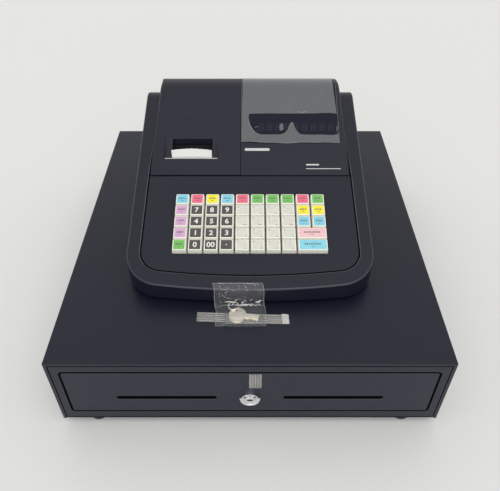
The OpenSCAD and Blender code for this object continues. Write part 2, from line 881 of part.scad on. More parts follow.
// Rubber platen on its shaft, with the feed gear outside the cheek
module platen_roller() {
    color(rubber_black) on_case() {
        rod_x(frame_x0 + 2.4, frame_x1 - 2.4, platen_y, platen_z, platen_r);
        rod_x(frame_x0 - 6, frame_x1 + 2.5, platen_y, platen_z, 2);
        translate([frame_x0 - 5.5, platen_y, platen_z]) rotate([90, 0, 90]) linear_extrude(3.5)
            polygon([for (i = [0:35]) let (r = i % 2 == 0 ? 7.2 : 6) r * [cos(i * 10), sin(i * 10)]]);
    }
}

glass_x0 = -8.2;
glass_x1 = 111.2;
glass_y0 = 270.6;
glass_a = 58;
glass_t = 2;
rear_glass_x = [24, 104];
rear_glass_z = [60, 82];
bottom_z = back_top_z;

// Fixed housing of the display, with the rear strip that carries the cover's hinge
module display_housing() {
    x0 = split_x + split_gap / 2;
    x1 = cover_w;
    color(body_black) on_case() difference() {
        union() {
            difference() {
                intersection() {
                    along_x(x0, x1) cover_profile(0, bottom_z);
                    between_sides(0);
                }
                intersection() {
                    along_x(x0 + wall, x1) cover_profile(wall, bottom_z - 1);
                    between_sides(wall);
                }
                // the part below the rim is open, down to a skirt
                along_x(x0 - 1, x1 + 1) polygon([
                    [seam_y - 5, bottom_z - 1], [seam_y - 5, rim_z(seam_y) - side_skirt],
                    [330, rim_z(330) - side_skirt], [reg_back - 8, bottom_z + 10],
                    [reg_back - 8, bottom_z - 1]]);
            }
            // strip behind the printer cover
            intersection() {
                union() {
                    along_x(-x1, x0 + 1) difference() {
                        rear_strip(0);
                        rear_strip(wall);
                    }
                    // floor of the rear bulge
                    block([-x1, reg_back - 3, bottom_z], [x1, back_y - 0.1, bottom_z + wall]);
                }
                between_sides(0);
            }
            side_wall() along_x(-x1, side_run - x1) rear_strip(0);
            along_x(x0, x0 + wall) rear_strip(0);
            for (x = ear_x) along_x(x, x + ear_t) hinge_ear();
        }
        along_x(glass_x0, glass_x1) cover_skin(-1, glass_t, glass_a, glass_y0);
        along_x(glass_x0 + 3, glass_x1 - 3) cover_skin(-1, wall + 2, glass_a + 5, glass_y0 + 4);
        for (x = ear_x) rod_x(x - 1, x + ear_t + 1, hinge[0], hinge[1], pin_r + 0.06);
        block([rear_glass_x[0], back_y - 1.6, rear_glass_z[0]],
              [rear_glass_x[1], back_y + 1, rear_glass_z[1]]);
        block([rear_glass_x[0] + 3, back_y - 6, rear_glass_z[0] + 3],
              [rear_glass_x[1] - 3, back_y + 1, rear_glass_z[1] - 3]);
    }
}

// Outline of the strip behind the hinge, moved in by d
module rear_strip(d) {
    polygon(concat(arc(cover_c, cover_r - d, strip_a + (d > 0 ? 3 : 0), 0, 14),
                   [[back_y - d, bottom_z - (d > 0 ? 1 : 0)],
                    [reg_back - 3 - d * 2, bottom_z - (d > 0 ? 1 : 0)],
                    [reg_back - 3 - d * 2, bottom_z + 20],
                    cover_c + (cover_r - 8) * [cos(strip_a + (d > 0 ? 3 : 0)),
                                              sin(strip_a + (d > 0 ? 3 : 0))]]));
}

// Ear round the hinge pin, kept under the cover's surface
module hinge_ear() {
    intersection() {
        polygon(concat(arc(hinge, 3.6, 90, 270, 16),
                       [cover_c + (cover_r - 9) * [cos(45), sin(45)],
                        cover_c + (cover_r - 1) * [cos(48), sin(48)]]));
        polygon(concat([[330, 60]], arc(cover_c, cover_r, 90 + cover_tilt, 0, 24), [[back_y, 60]]));
    }
}

// Smoked lens that runs up the slope and over the top
module display_window() {
    color([0.08, 0.10, 0.13]) on_case()
        along_x(glass_x0 + 0.15, glass_x1 - 0.15)
            cover_skin(0, glass_t - 0.15, glass_a + 0.3, glass_y0 + 0.15);
}

// Thin protective film, still on the lens
module display_film() {
    color([0.5, 0.52, 0.54, 0.6]) on_case()
        along_x(glass_x0 - 2.2, glass_x1 + 0.6) cover_skin(-0.4, -0.1, glass_a + 2, glass_y0 - 1.8);
}

// Operator's display: board with its glass
module display_board() {
    color(board_green) on_cover() {
        block([4, slope_y(275), -14.6], [108, slope_y(275) + 50, -13]);
        block([9, slope_y(275) + 4, -12.9], [105, slope_y(275) + 28, -6.5]);
    }
}

module rear_window() {
    color([0.08, 0.10, 0.13]) on_case()
        block([rear_glass_x[0] + 0.15, back_y - 1.5, rear_glass_z[0] + 0.15],
              [rear_glass_x[1] - 0.15, back_y, rear_glass_z[1] - 0.15]);
}

module main_board() {
    color(board_green) on_case() {
        block([-30, 250, 9], [100, 360, 10.6]);
        block([-10, 275, 10.7], [8, 293, 13]);
        block([30, 270, 10.7], [52, 282, 13.5]);
        block([60, 300, 10.7], [84, 316, 13.5]);
        for (x = [-22, -8, 6]) translate([x, 340, 10.7]) cylinder(h = 14, r = 5);
        for (x = [-24, 94], y = [256, 354])
            translate([x, y, base_z + wall]) cylinder(h = 9 - base_z - wall, r = 3);
    }
}

// Laminated transformer of the power supply
module power_supply() {
    color([0.35, 0.33, 0.3]) on_case() {
        block([40, 326, 12], [92, 352, 52]);
        difference() {
            block([46, 320, 20], [86, 358, 44]);
            block([39, 325.9, 11], [93, 352.1, 53]);
        }
    }
}

// Low-voltage socket in the back wall
module power_inlet() {
    color(rubber_black) on_case() difference() {
        union() {
            block([inlet_x - 6, reg_back - 14, inlet_z - 6], [inlet_x + 6, reg_back - wall, inlet_z + 6]);
            rod_y(reg_back - wall - 0.1, reg_back + 0.6, inlet_x, inlet_z, inlet_r);
        }
        rod_y(reg_back - 11, reg_back + 2, inlet_x, inlet_z, 2.75);
    }
}

// Pan-head screw along +y, its head's seat at the origin
module pan_screw(shank = 6) {
    rotate([90, 0, 0]) cylinder(h = rear_proud, r1 = screw_head_r, r2 = screw_head_r - 0.8);
    rotate([-90, 0, 0]) cylinder(h = shank, r = screw_r);
}

module screws() {
    color(plain_steel) {
        for (x = back_screw_x)
            translate([x, case_back, back_screw_z]) rotate([0, 0, 180]) pan_screw();
        on_case() for (x = rear_screw_x)
            translate([x, reg_back, rear_screw_z]) rotate([0, 0, 180]) pan_screw();
        for (x = [-foot_x, foot_x], y = [foot_front_y, foot_back_y])
            translate([x, y, foot_recess]) rotate([90, 0, 0]) pan_screw(8);
    }
}

case_shell();
case_base();
case_feet();
slide_rails();
front_rollers();
rear_rollers();
drawer_tray();
drawer_front();
lock_bezel();
lock_cylinder();
latch_hook();
solenoid();
kick_spring();
till_insert();
coin_tray();
bill_clip(0);  // bill_clip_1
bill_clip(1);  // bill_clip_2
bill_clip(2);  // bill_clip_3
bill_clip(3);  // bill_clip_4
lock_keys();
lower_case();
upper_case();
register_feet();
keyboard_panel();
dome_sheet();
keyboard_board();
printer_cover();
hinge_pin();
tear_bar();
receipt_paper();
paper_roll();
printer_frame();
print_head();
platen_roller();
display_housing();
display_window();
display_film();
display_board();
rear_window();
main_board();
power_supply();
power_inlet();
screws();
one_key(1, 1);  // key_7
one_key(2, 1);  // key_8
one_key(3, 1);  // key_9
one_key(1, 2);  // key_4
one_key(2, 2);  // key_5
one_key(3, 2);  // key_6
one_key(1, 3);  // key_1
one_key(2, 3);  // key_2
one_key(3, 3);  // key_3
one_key(1, 4);  // key_0
one_key(2, 4);  // key_00
one_key(3, 4);  // key_point
one_key(8, 3, 2);  // key_subtotal
one_key(8, 4, 2);  // key_cash
department_keys();
top_row_keys();
side_keys();
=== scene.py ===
"""The looks of an electronic cash register on its cash drawer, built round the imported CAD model."""

import json
import math
import random

import bmesh
import bpy
from mathutils import Matrix, Vector, geometry, noise


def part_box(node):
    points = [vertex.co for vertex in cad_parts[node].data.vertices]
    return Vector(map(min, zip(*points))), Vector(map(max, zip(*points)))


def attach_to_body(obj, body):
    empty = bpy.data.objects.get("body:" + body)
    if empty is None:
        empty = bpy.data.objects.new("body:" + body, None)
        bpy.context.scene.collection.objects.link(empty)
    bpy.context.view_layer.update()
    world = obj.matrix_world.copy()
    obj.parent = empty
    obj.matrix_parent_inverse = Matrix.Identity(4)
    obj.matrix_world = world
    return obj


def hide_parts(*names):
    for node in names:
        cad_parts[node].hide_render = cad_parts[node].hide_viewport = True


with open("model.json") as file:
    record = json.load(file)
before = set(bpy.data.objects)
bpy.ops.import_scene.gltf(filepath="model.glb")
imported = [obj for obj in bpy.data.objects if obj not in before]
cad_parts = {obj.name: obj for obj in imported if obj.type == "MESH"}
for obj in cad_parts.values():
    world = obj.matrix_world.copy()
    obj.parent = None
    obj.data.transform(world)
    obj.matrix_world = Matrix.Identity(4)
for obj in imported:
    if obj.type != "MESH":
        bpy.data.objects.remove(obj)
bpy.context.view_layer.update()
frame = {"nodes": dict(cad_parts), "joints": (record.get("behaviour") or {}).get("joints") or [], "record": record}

MM = 0.001
NODES = frame["nodes"]
BODY_OF = {n: b for b, names in frame["record"]["behaviour"]["bodies"].items() for n in names}
SLOT_OF = {s["node"]: s["material_slot"] for s in frame["record"]["subparts"]}

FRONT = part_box("case_shell")[0].y
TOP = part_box("case_shell")[1].z

SEAM = 226.7                    # front seam of the covers, mm behind the case front
COVER_LEAN = 0.04               # how far the covers' sides lean in, mm per mm towards the back
RIM_HEIGHT = 21.7 * MM          # front of the register's rim above the case
RIM_TILT = math.atan2(0.28903, 0.95732)     # 16.8 degrees, as the CAD rim has it
WELD = 2e-6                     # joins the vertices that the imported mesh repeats
SHORT_EDGE = 0.08 * MM          # edges shorter than this would pinch a rounding
FLAT = math.radians(0.6)        # faces that meet at less than this are one face
EVEN = (1, 1, 1)                # the same scale along each axis

CAMERA_BACK = 325.7 * MM
CAMERA_HEIGHT = 451.7 * MM
CAMERA_DOWN = 42.12             # degrees below level
CAMERA_LENS = 39.96
CAMERA_SENSOR = 36


# ---------------------------------------------------------------- camera, light and floor

def make_camera():
    """The photo's view: from in front and above, on the centre line."""
    data = bpy.data.cameras.new("camera")
    data.sensor_width = CAMERA_SENSOR
    data.lens = CAMERA_LENS
    camera = bpy.data.objects.new("camera", data)
    camera.location = (0, FRONT - CAMERA_BACK, TOP + CAMERA_HEIGHT)
    camera.rotation_euler = (math.radians(90 - CAMERA_DOWN), 0, 0)
    bpy.context.collection.objects.link(camera)
    bpy.context.scene.camera = camera


def soft_sun(name, turn, power, spread_angle):
    """A sun turned by these degrees from straight down; a wide one casts soft shadows."""
    data = bpy.data.lights.new(name, "SUN")
    data.energy = power
    data.angle = math.radians(spread_angle)
    light = bpy.data.objects.new(name, data)
    light.rotation_euler = [math.radians(a) for a in turn]
    bpy.context.collection.objects.link(light)


def make_light():
    """A pale even sky, and two very soft suns."""
    world = bpy.data.worlds.new("studio")
    bpy.context.scene.world = world
    world.use_nodes = True
    background = world.node_tree.nodes["Background"]
    background.inputs["Color"].default_value = (1.0, 0.995, 0.975, 1)
    background.inputs["Strength"].default_value = 0.74
    soft_sun("overhead", (24, 10, 0), 0.62, 50)
    soft_sun("fill", (62, -8, 0), 0.55, 70)
    bpy.context.scene.view_settings.view_transform = "Standard"


def make_floor():
    """The white ground, which is scenery and not part of the model."""
    bm = bmesh.new()
    bmesh.ops.create_grid(bm, x_segments=8, y_segments=8, size=7)
    material = plastic("floor", (0.80, 0.80, 0.79), 0.6, 40, 0.2, 0.99)
    floor = mesh_object("floor", bm, material)


# ---------------------------------------------------------------- materials

def shader(name, base, rough, metallic=0.0, **sockets):
    """A new material and its principled shader, with constants set on the shader itself."""
    material = bpy.data.materials.new(name)
    material.use_nodes = True
    surface = material.node_tree.nodes["Principled BSDF"]
    surface.inputs["Base Color"].default_value = (*base, 1)
    surface.inputs["Roughness"].default_value = rough
    surface.inputs["Metallic"].default_value = metallic
    for socket, value in sockets.items():
        surface.inputs[socket.replace("_", " ")].default_value = value
    return material


def noise_node(material, scale, detail=2.0, stretch=EVEN):
    """Noise in the object's own coordinates; scale counts per metre."""
    nodes, links = material.node_tree.nodes, material.node_tree.links
    place = nodes.new("ShaderNodeTexCoord")
    mapping = nodes.new("ShaderNodeMapping")
    mapping.inputs["Scale"].default_value = stretch
    pattern = nodes.new("ShaderNodeTexNoise")
    pattern.inputs["Scale"].default_value = scale
    pattern.inputs["Detail"].default_value = detail
    links.new(place.outputs["Object"], mapping.inputs["Vector"])
    links.new(mapping.outputs["Vector"], pattern.inputs["Vector"])
    return pattern.outputs["Fac"]


def spread(material, value, low, high, start=0.35, end=0.65):
    """Maps a noise value on to a range of numbers."""
    node = material.node_tree.nodes.new("ShaderNodeMapRange")
    node.inputs["From Min"].default_value = start
    node.inputs["From Max"].default_value = end
    node.inputs["To Min"].default_value = low
    node.inputs["To Max"].default_value = high
    material.node_tree.links.new(value, node.inputs["Value"])
    return node.outputs["Result"]


def mottle(material, base, other, scale, detail=3.0, stretch=EVEN):
    """Lets the colour wander between two values."""
    nodes, links = material.node_tree.nodes, material.node_tree.links
    mix = nodes.new("ShaderNodeMix")
    mix.data_type = "RGBA"
    mix.inputs["A"].default_value = (*base, 1)
    mix.inputs["B"].default_value = (*other, 1)
    links.new(spread(material, noise_node(material, scale, detail, stretch), 0, 1), mix.inputs["Factor"])
    links.new(mix.outputs["Result"], nodes["Principled BSDF"].inputs["Base Color"])


def uneven_gloss(material, low, high, scale, stretch=EVEN):
    """Lets the roughness wander between two values."""
    value = spread(material, noise_node(material, scale, 4.0, stretch), low, high)
    links = material.node_tree.links
    links.new(value, material.node_tree.nodes["Principled BSDF"].inputs["Roughness"])


def bumpy(material, layers):
    """Bump from layers of (scale per metre, height in mm, stretch)."""
    nodes, links = material.node_tree.nodes, material.node_tree.links
    normal = None
    for scale, height, stretch in layers:
        bump = nodes.new("ShaderNodeBump")
        bump.inputs["Distance"].default_value = height * MM
        links.new(noise_node(material, scale, 2.0, stretch), bump.inputs["Height"])
        if normal is not None:
            links.new(normal, bump.inputs["Normal"])
        normal = bump.outputs["Normal"]
    links.new(normal, nodes["Principled BSDF"].inputs["Normal"])


def plastic(name, base, rough, grain=1800, height=0.03, vary=1.25, **sockets):
    """Moulded plastic: a fine grain, a slight wander in colour and gloss."""
    material = shader(name, base, rough, **sockets)
    mottle(material, base, [min(1, c * vary) for c in base], 240)
    uneven_gloss(material, rough * 0.95, min(1, rough * 1.05), 180)
    bumpy(material, [(grain, height, EVEN)])
    return material


def brushed(name, base, rough, stretch, scale=900, height=0.01):
    """Metal with fine lines along one direction."""
    material = shader(name, base, rough, metallic=1.0)
    mottle(material, base, [c * 0.82 for c in base], 90, 3.0, stretch)
    uneven_gloss(material, rough * 0.7, rough * 1.4, 240, stretch)
    bumpy(material, [(scale, height, stretch)])
    return material


DULL = {"Specular_IOR_Level": 0.40}
# colour, roughness, then as far as given: grain per metre, its height in mm, colour spread, shader sockets
PLASTICS = {
    "case_steel": ((0.0050, 0.0068, 0.0185), 0.36, 1500, 0.05, 1.1, DULL),
    "drawer_front": ((0.0088, 0.0108, 0.0250), 0.42, 1300, 0.04, 1.1, DULL),
    "housing": ((0.0075, 0.0082, 0.0195), 0.38, 1700, 0.035, 1.1, DULL),
    # Painted highlights: lighter copies of the steel and housing colours, for rounded edges.
    "case_highlight": ((0.018, 0.023, 0.035), 0.3, 1500, 0.03, 1.2),
    "housing_highlight": ((0.022, 0.025, 0.036), 0.28, 1700, 0.02, 1.2),
    # Painted highlight, brighter still, for the inner edges of the register's rim.
    "rim_highlight": ((0.060, 0.064, 0.076), 0.28, 1700, 0.02, 1.2),
    # Painted shade, for the faces in gaps and recesses.
    "shadow_gap": ((0.0010, 0.0011, 0.0016), 0.8, 900, 0.02, 1.1, {"Specular_IOR_Level": 0.1}),
    "film": ((0.093, 0.098, 0.106), 0.30, 120, 0.05, 1.12, {"Coat_Weight": 0.55}),
    # Painted highlight, for the light threads along the film's edges and creases.
    "film_highlight": ((0.42, 0.44, 0.46), 0.3, 700, 0.01),
    "ghost": ((0.016, 0.020, 0.030), 0.2, 400, 0.002),
    "mark": ((0.60, 0.61, 0.61), 0.5, 900, 0.01, 0.94),
    # Black for the lock's position marks and keyhole, and painted shade on its collar.
    "black_mark_and_shade": ((0.006, 0.006, 0.007), 0.5, 900, 0.01),
    "feet": ((0.012, 0.012, 0.012), 0.75, 900, 0.05),
    "nylon": ((0.72, 0.72, 0.66), 0.4, 600, 0.01, 0.92),
    "till_plastic": ((0.016, 0.016, 0.018), 0.5, 1100, 0.04),
    "key_caps": ((0.90, 0.89, 0.81), 0.28, 500, 0.008, 0.96, {"Coat_Weight": 0.4}),
    "silicone": ((0.6, 0.6, 0.58), 0.6, 700, 0.01),
    "circuit_board": ((0.012, 0.09, 0.035), 0.35, 300, 0.02, 1.6),
    "receipt_paper": ((1.0, 1.0, 0.97), 0.85, 1400, 0.01, 0.985),
    "printer_plastic": ((0.02, 0.02, 0.022), 0.5),
    "platen_rubber": ((0.02, 0.02, 0.02), 0.7, 1500, 0.03),
    "smoked_lens": ((0.0020, 0.0050, 0.0150), 0.10, 200, 0.002, 1.2, {"Specular_IOR_Level": 0.30}),
    "inlet_plastic": ((0.01, 0.01, 0.01), 0.4),
}
# colour, roughness, stretch of the lines, then as far as given: lines per metre and their height in mm
METALS = {
    "zinc_steel": ((0.55, 0.56, 0.58), 0.34, (1, 0.15, 1)),
    "spring_steel": ((0.6, 0.6, 0.62), 0.25, (0.2, 1, 1)),
    "screws": ((0.16, 0.16, 0.17), 0.35, (1, 1, 0.3)),
    "lock_chrome": ((0.90, 0.91, 0.92), 0.14, EVEN, 700, 0.003),
    "key_nickel": ((0.95, 0.90, 0.79), 0.36, (0.2, 1, 1)),
    "print_head": ((0.7, 0.7, 0.72), 0.3, (0.2, 1, 1)),
    "laminations": ((0.2, 0.19, 0.17), 0.5, (1, 0.05, 1), 1500, 0.05),
}


def make_materials():
    """Every material of the tables, by name."""
    made = {name: brushed(name, *values) for name, values in METALS.items()}
    for name, values in PLASTICS.items():
        sockets = values[-1] if isinstance(values[-1], dict) else {}
        made[name] = plastic(name, *[v for v in values if not isinstance(v, dict)], **sockets)
    return made


# ---------------------------------------------------------------- making and placing pieces

def mesh_object(name, bm, material):
    """A new object with this mesh, its faces facing out."""
    bmesh.ops.recalc_face_normals(bm, faces=bm.faces)
    mesh = bpy.data.meshes.new(name)
    bm.to_mesh(mesh)
    bm.free()
    mesh.materials.append(material)
    piece = bpy.data.objects.new(name, mesh)
    bpy.context.collection.objects.link(piece)
    return piece


def smooth(piece, angle=32, weighted=True):
    """Smooth shading, with edges sharper than the angle kept."""
    piece.data.shade_smooth()
    piece.data.set_sharp_from_angle(angle=math.radians(angle))
    if weighted:
        modifier = piece.modifiers.new("weighted", "WEIGHTED_NORMAL")
        modifier.keep_sharp = True
    return piece


REBUILT = set()


def attach(piece, node, stands_for=True):
    """The piece rides with the node's body; it may stand for the node."""
    if stands_for:
        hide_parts(node)
        REBUILT.add(node)
    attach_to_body(piece, BODY_OF[node])
    return piece


def cad_mesh(node):
    """The node's mesh with its seams welded and its flat faces whole."""
    bm = bmesh.new()
    bm.from_mesh(NODES[node].data)
    bmesh.ops.remove_doubles(bm, verts=bm.verts, dist=WELD)
    bmesh.ops.dissolve_limit(bm, angle_limit=FLAT, verts=bm.verts, edges=bm.edges)
    return bm


def middle(edge):
    """The point halfway along an edge."""
    return (edge.verts[0].co + edge.verts[1].co) / 2


def sharp_edges(bm, test):
    """The edges that pass the test and where two faces meet at a clear angle."""
    least = math.radians(28)
    return [e for e in bm.edges
            if len(e.link_faces) == 2 and e.calc_face_angle(0) > least and test(e)]


def joined(node):
    """The node's touching solids as one mesh."""
    bm = cad_mesh(node)
    solids = []
    while bm.faces:
        reached, waiting = set(), [bm.faces[:][0]]
        while waiting:
            face = waiting.pop()
            if face in reached:
                continue
            reached.add(face)
            waiting += [other for e in face.edges for other in e.link_faces if other not in reached]
        rest = bm.copy()
        chosen = {f.index for f in reached}
        for mesh, unwanted in ((rest, lambda i: i not in chosen), (bm, lambda i: i in chosen)):
            mesh.faces.ensure_lookup_table()
            bmesh.ops.delete(mesh, geom=[f for f in mesh.faces if unwanted(f.index)], context="FACES")
        bm.faces.index_update()
        solids.append(mesh_object("solid", rest, MATERIALS["housing"]))
    bm.free()
    whole = solids[0]
    for other in solids[1:]:
        union = whole.modifiers.new("union", "BOOLEAN")
        union.operation = "UNION"
        union.solver = "EXACT"
        union.object = other
    bpy.context.view_layer.update()
    result = bmesh.new()
    result.from_mesh(bpy.data.meshes.new_from_object(
        whole.evaluated_get(bpy.context.evaluated_depsgraph_get())))
    for solid in solids:
        bpy.data.objects.remove(solid)
    bmesh.ops.remove_doubles(result, verts=result.verts, dist=SHORT_EDGE)
    bmesh.ops.dissolve_limit(result, angle_limit=FLAT, verts=result.verts, edges=result.edges)
    return result


def rounded(node, groups, material, highlight_material=None, bm=None, in_shade=None, third="shadow_gap"):
    """The node again with chosen edges rounded. Groups are (radius in mm, segments, test of an edge),
    and the material slot of the rounding where it isn't the highlight material's: 0 is the node's own, 2 the
    third.
    Where a highlight material is given, it paints a highlight on the roundings. Faces that the test in_shade
    picks take the third material, which is painted shade unless another is named."""
    bm = bm or cad_mesh(node)
    if in_shade:
        for face in bm.faces:
            if in_shade(face):
                face.material_index = 2
    for radius, segments, test, *slot in groups:
        chosen = sharp_edges(bm, test)
        bmesh.ops.bevel(bm, geom=chosen, offset=radius * MM, offset_type="OFFSET", segments=segments,
                        profile=0.5, affect="EDGES", clamp_overlap=False, miter_outer="SHARP",
                        material=slot[0] if slot else 1 if highlight_material else 0)
    piece = mesh_object(node + "_shell", bm, material)
    used = max(face.material_index for face in piece.data.polygons)
    for extra in (highlight_material or material, MATERIALS[third])[:used]:
        piece.data.materials.append(extra)
    return attach(smooth(piece), node)


def near(value, target, play):
    """The two differ by less than this many mm."""
    return abs(value - target) < play * MM


def edge_is(edge, axis, value):
    """Both ends of the edge lie at this value of the axis (0, 1 or 2)."""
    return all(near(v.co[axis], value, 0.06) for v in edge.verts)


def edge_at_side(edge, low, high):
    """The edge lies in the left or right side of the box from low to high."""
    return edge_is(edge, 0, low.x) or edge_is(edge, 0, high.x)


def stack(bm, loops):
    """Joins loops of equal length one above the other, and closes both ends."""
    for low, high in zip(loops, loops[1:]):
        for i in range(len(low)):
            j = (i + 1) % len(low)
            bm.faces.new((low[i], low[j], high[j], high[i]))
    bm.faces.new(loops[0][::-1])
    bm.faces.new(loops[-1])


def bead(bm, path, radius):
    """A round thread along a path, thinner towards its ends."""
    sides, loops = 6, []
    for i, point in enumerate(path):
        ahead = (path[min(i + 1, len(path) - 1)] - path[max(i - 1, 0)]).normalized()
        across = ahead.cross(Vector((0.31, 0.17, 0.93))).normalized()
        up = across.cross(ahead)
        thin = radius * max(0.15, math.sin(math.pi * (i + 0.5) / len(path)) ** 0.5)
        loops.append([bm.verts.new(point + thin * (math.cos(a) * across + math.sin(a) * up))
                      for a in (2 * math.pi * k / sides for k in range(sides))])
    stack(bm, loops)


def soft_path(points, steps=6):
    """A smooth path through points (Catmull-Rom)."""
    ends = [points[0]] + list(points) + [points[-1]]
    path = []
    for a, b, c, d in zip(ends, ends[1:], ends[2:], ends[3:]):
        for i in range(steps):
            t = i / steps
            path.append(0.5 * ((2 * b) + (c - a) * t + (2 * a - 5 * b + 4 * c - d) * t * t
                               + (3 * b - a - 3 * c + d) * t * t * t))
    return path + [points[-1]]


# ---------------------------------------------------------------- cash drawer

def case_pieces():
    """The folded case: softly rounded outer bends, painted highlights on its rounded front sides and hem, and
    painted shade on the faces in the gap between its hem and the drawer.
    """
    low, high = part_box("case_shell")

    def outer_fold(e):
        return edge_is(e, 2, high.z) and (edge_at_side(e, low, high) or edge_is(e, 1, low.y))

    def front_side(e):
        return edge_is(e, 1, low.y) and edge_at_side(e, low, high)

    def hem(e):
        within = abs(middle(e).x) < high.x - 2 * MM and middle(e).z < high.z - 2 * MM
        return edge_is(e, 1, low.y) and within

    # Painted shade: faces inside the gap behind the hem take the dark third material.
    def hem_gap_shade(face):
        spot = face.calc_center_median()
        outer = abs(spot.x) > high.x - 0.1 * MM or spot.z > high.z - 0.1 * MM
        at_front = spot.y < low.y + 12 * MM and spot.z > low.z + MM
        return at_front and abs(face.normal.y) < 0.5 and not outer

    rounded("case_shell", [(1.0, 4, outer_fold, 0), (0.8, 3, front_side), (0.5, 2, hem)],
            MATERIALS["case_steel"], MATERIALS["case_highlight"], in_shade=hem_gap_shade)


def drawer_front_piece():
    """The drawer front: painted highlights on the fine rounded edges round its line and slots, and painted shade
    on the recessed faces in them.
    """
    low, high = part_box("drawer_front")
    lock = sum(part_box("lock_bezel"), Vector()) / 2
    shallow = low.y + 0.2 * MM

    def face_edge(e):
        border = edge_is(e, 2, high.z) or edge_at_side(e, low, high)
        return edge_is(e, 1, low.y) and not border and (middle(e) - lock).xz.length > 11 * MM

    # Painted shade: faces recessed in the groove and slots take the dark third material.
    def recess_shade(face):
        spot = face.calc_center_median()
        wall = abs(face.normal.y) < 0.5
        return spot.y > shallow and (wall or spot.y < high.y - 0.2 * MM)

    rounded("drawer_front", [(0.5, 3, face_edge)], MATERIALS["drawer_front"], MATERIALS["case_highlight"],
            in_shade=recess_shade)


def lock_pieces():
    """The chrome lock: softened collar and plug, the black marks of its positions, and painted shade along the
    collar's upper rim.
    """
    low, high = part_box("lock_bezel")
    centre = (low + high) / 2
    radius = (high.x - low.x) / 2
    for node in ("lock_bezel", "lock_cylinder"):
        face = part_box(node)[0].y
        rounded(node, [(0.45, 3, lambda e: edge_is(e, 1, face))], MATERIALS["lock_chrome"])

    def spot(bm, face_y, depth, angle, wide, tall=None):
        """A vertex at an angle round the lock's axis, this many mm behind a face."""
        tall = wide if tall is None else tall
        return bm.verts.new((centre.x + wide * math.cos(angle), face_y + depth * MM,
                             centre.z + tall * math.sin(angle)))

    marks = bmesh.new()
    for start, end, inner, outer in ((40, 58, 0.62, 0.78), (84, 98, 0.64, 0.76), (124, 144, 0.60, 0.78)):
        angles = [math.radians(start + (end - start) * i / 12) for i in range(13)]
        outline = [(r * radius, a) for r, way in ((outer, angles), (inner, angles[::-1])) for a in way]
        stack(marks, [[spot(marks, low.y, depth, a, r) for r, a in outline] for depth in (0.3, -0.04)])
    # Painted shade: a dark crescent over the upper rim of the chrome collar.
    shade = []
    for i in range(33):
        angle = math.radians(22 + 136 * i / 32)
        taper = min(1.0, 4 * math.sin(math.pi * i / 32))
        section = ((0.985 - 0.105 * taper, -0.05), (1.006, 1.35), (0.99, 1.7), (0.86, 0.4))
        shade.append([spot(marks, low.y, depth, angle, r * radius) for r, depth in section])
    stack(marks, shade)
    attach(mesh_object("lock_marks_and_shade", marks, MATERIALS["black_mark_and_shade"]), "lock_bezel", False)

    plug_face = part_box("lock_cylinder")[0].y
    hole = bmesh.new()
    stack(hole, [[spot(hole, plug_face, depth, math.radians(15 * i), 2.9 * MM, 1.7 * MM) for i in range(24)]
                 for depth in (0.3, -0.05)])
    attach(mesh_object("lock_keyhole", hole, MATERIALS["black_mark_and_shade"]), "lock_cylinder", False)


# ---------------------------------------------------------------- register housing

def outward(edge, centre):
    """True if the steeper of the edge's faces looks away from the centre line."""
    side = min(edge.link_faces, key=lambda f: abs(f.normal.z))
    away = middle(edge) - centre
    return side.normal.x * away.x + side.normal.y * away.y > 0


def top_facing(edge):
    """True if one of the edge's faces looks up."""
    return any(f.normal.z > 0.85 for f in edge.link_faces)


def register_case():
    """The register's upper moulding, with painted highlights on the roundings of its rim and rear corners."""
    low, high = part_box("upper_case")
    centre = Vector((0, (low.y + high.y) / 2 + 30 * MM, 0))

    def rim_z(y):
        return TOP + RIM_HEIGHT + (y - low.y) * math.tan(RIM_TILT)

    def on_rim(e):
        sloping = all(abs(v.co.z - rim_z(v.co.y)) < 0.4 * MM for v in e.verts)
        wing_top = middle(e).y > high.y - 34 * MM and middle(e).z > TOP + 50 * MM
        return sloping or wing_top

    def rear_corner(e):
        return edge_is(e, 1, high.y) and edge_at_side(e, low, high)

    # The outer rim edges and rear corners take the housing highlight, the inner rim edges the brighter rim
    # highlight.
    rounded("upper_case", [
        (4.0, 5, rear_corner),
        (1.5, 4, lambda e: on_rim(e) and outward(e, centre)),
        (1.0, 3, lambda e: on_rim(e) and not outward(e, centre), 2),
    ], MATERIALS["housing"], MATERIALS["housing_highlight"], joined("upper_case"), third="rim_highlight")


def keyboard_deck():
    """The panel round the keys: painted shade on the rounding where it meets the rim, a soft one round the keys.
    """
    keys_low, keys_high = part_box("key_cash")[0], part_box("top_row_keys")[1]

    def outline(e):
        spot = middle(e)
        beside = abs(spot.x) > keys_high.x + 4 * MM or spot.y < keys_low.y - 4 * MM
        return top_facing(e) and beside and spot.y < keys_high.y + 12 * MM

    panel = cad_mesh("keyboard_panel")
    bmesh.ops.remove_doubles(panel, verts=panel.verts, dist=SHORT_EDGE)
    # The rounding where the panel meets the rim takes slot 2, painted shade of the seam.
    rounded("keyboard_panel", [(0.9, 3, outline, 2), (0.5, 2, lambda e: top_facing(e) and not outline(e))],
            MATERIALS["housing"], bm=panel)


def cover_pieces():
    """The printer cover and the display housing, rolled along their outer sides."""
    half = -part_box("printer_cover")[0].x
    hinge_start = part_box("display_housing")[1].y - 31 * MM

    def at_side(vert):
        return near(abs(vert.co.x), half - COVER_LEAN * (vert.co.y - FRONT - SEAM * MM), 0.2)

    def outside(e):
        skyward = any(f.normal.z > 0.2 or f.normal.y > 0.5 for f in e.link_faces)
        return skyward and all(at_side(v) for v in e.verts)

    rounded("printer_cover", [(4.2, 6, lambda e: outside(e) and middle(e).y < hinge_start),
                              (2.0, 3, lambda e: outside(e) and middle(e).y > hinge_start)],
            MATERIALS["housing"])
    rounded("display_housing", [(4.2, 6, outside)], MATERIALS["housing"])


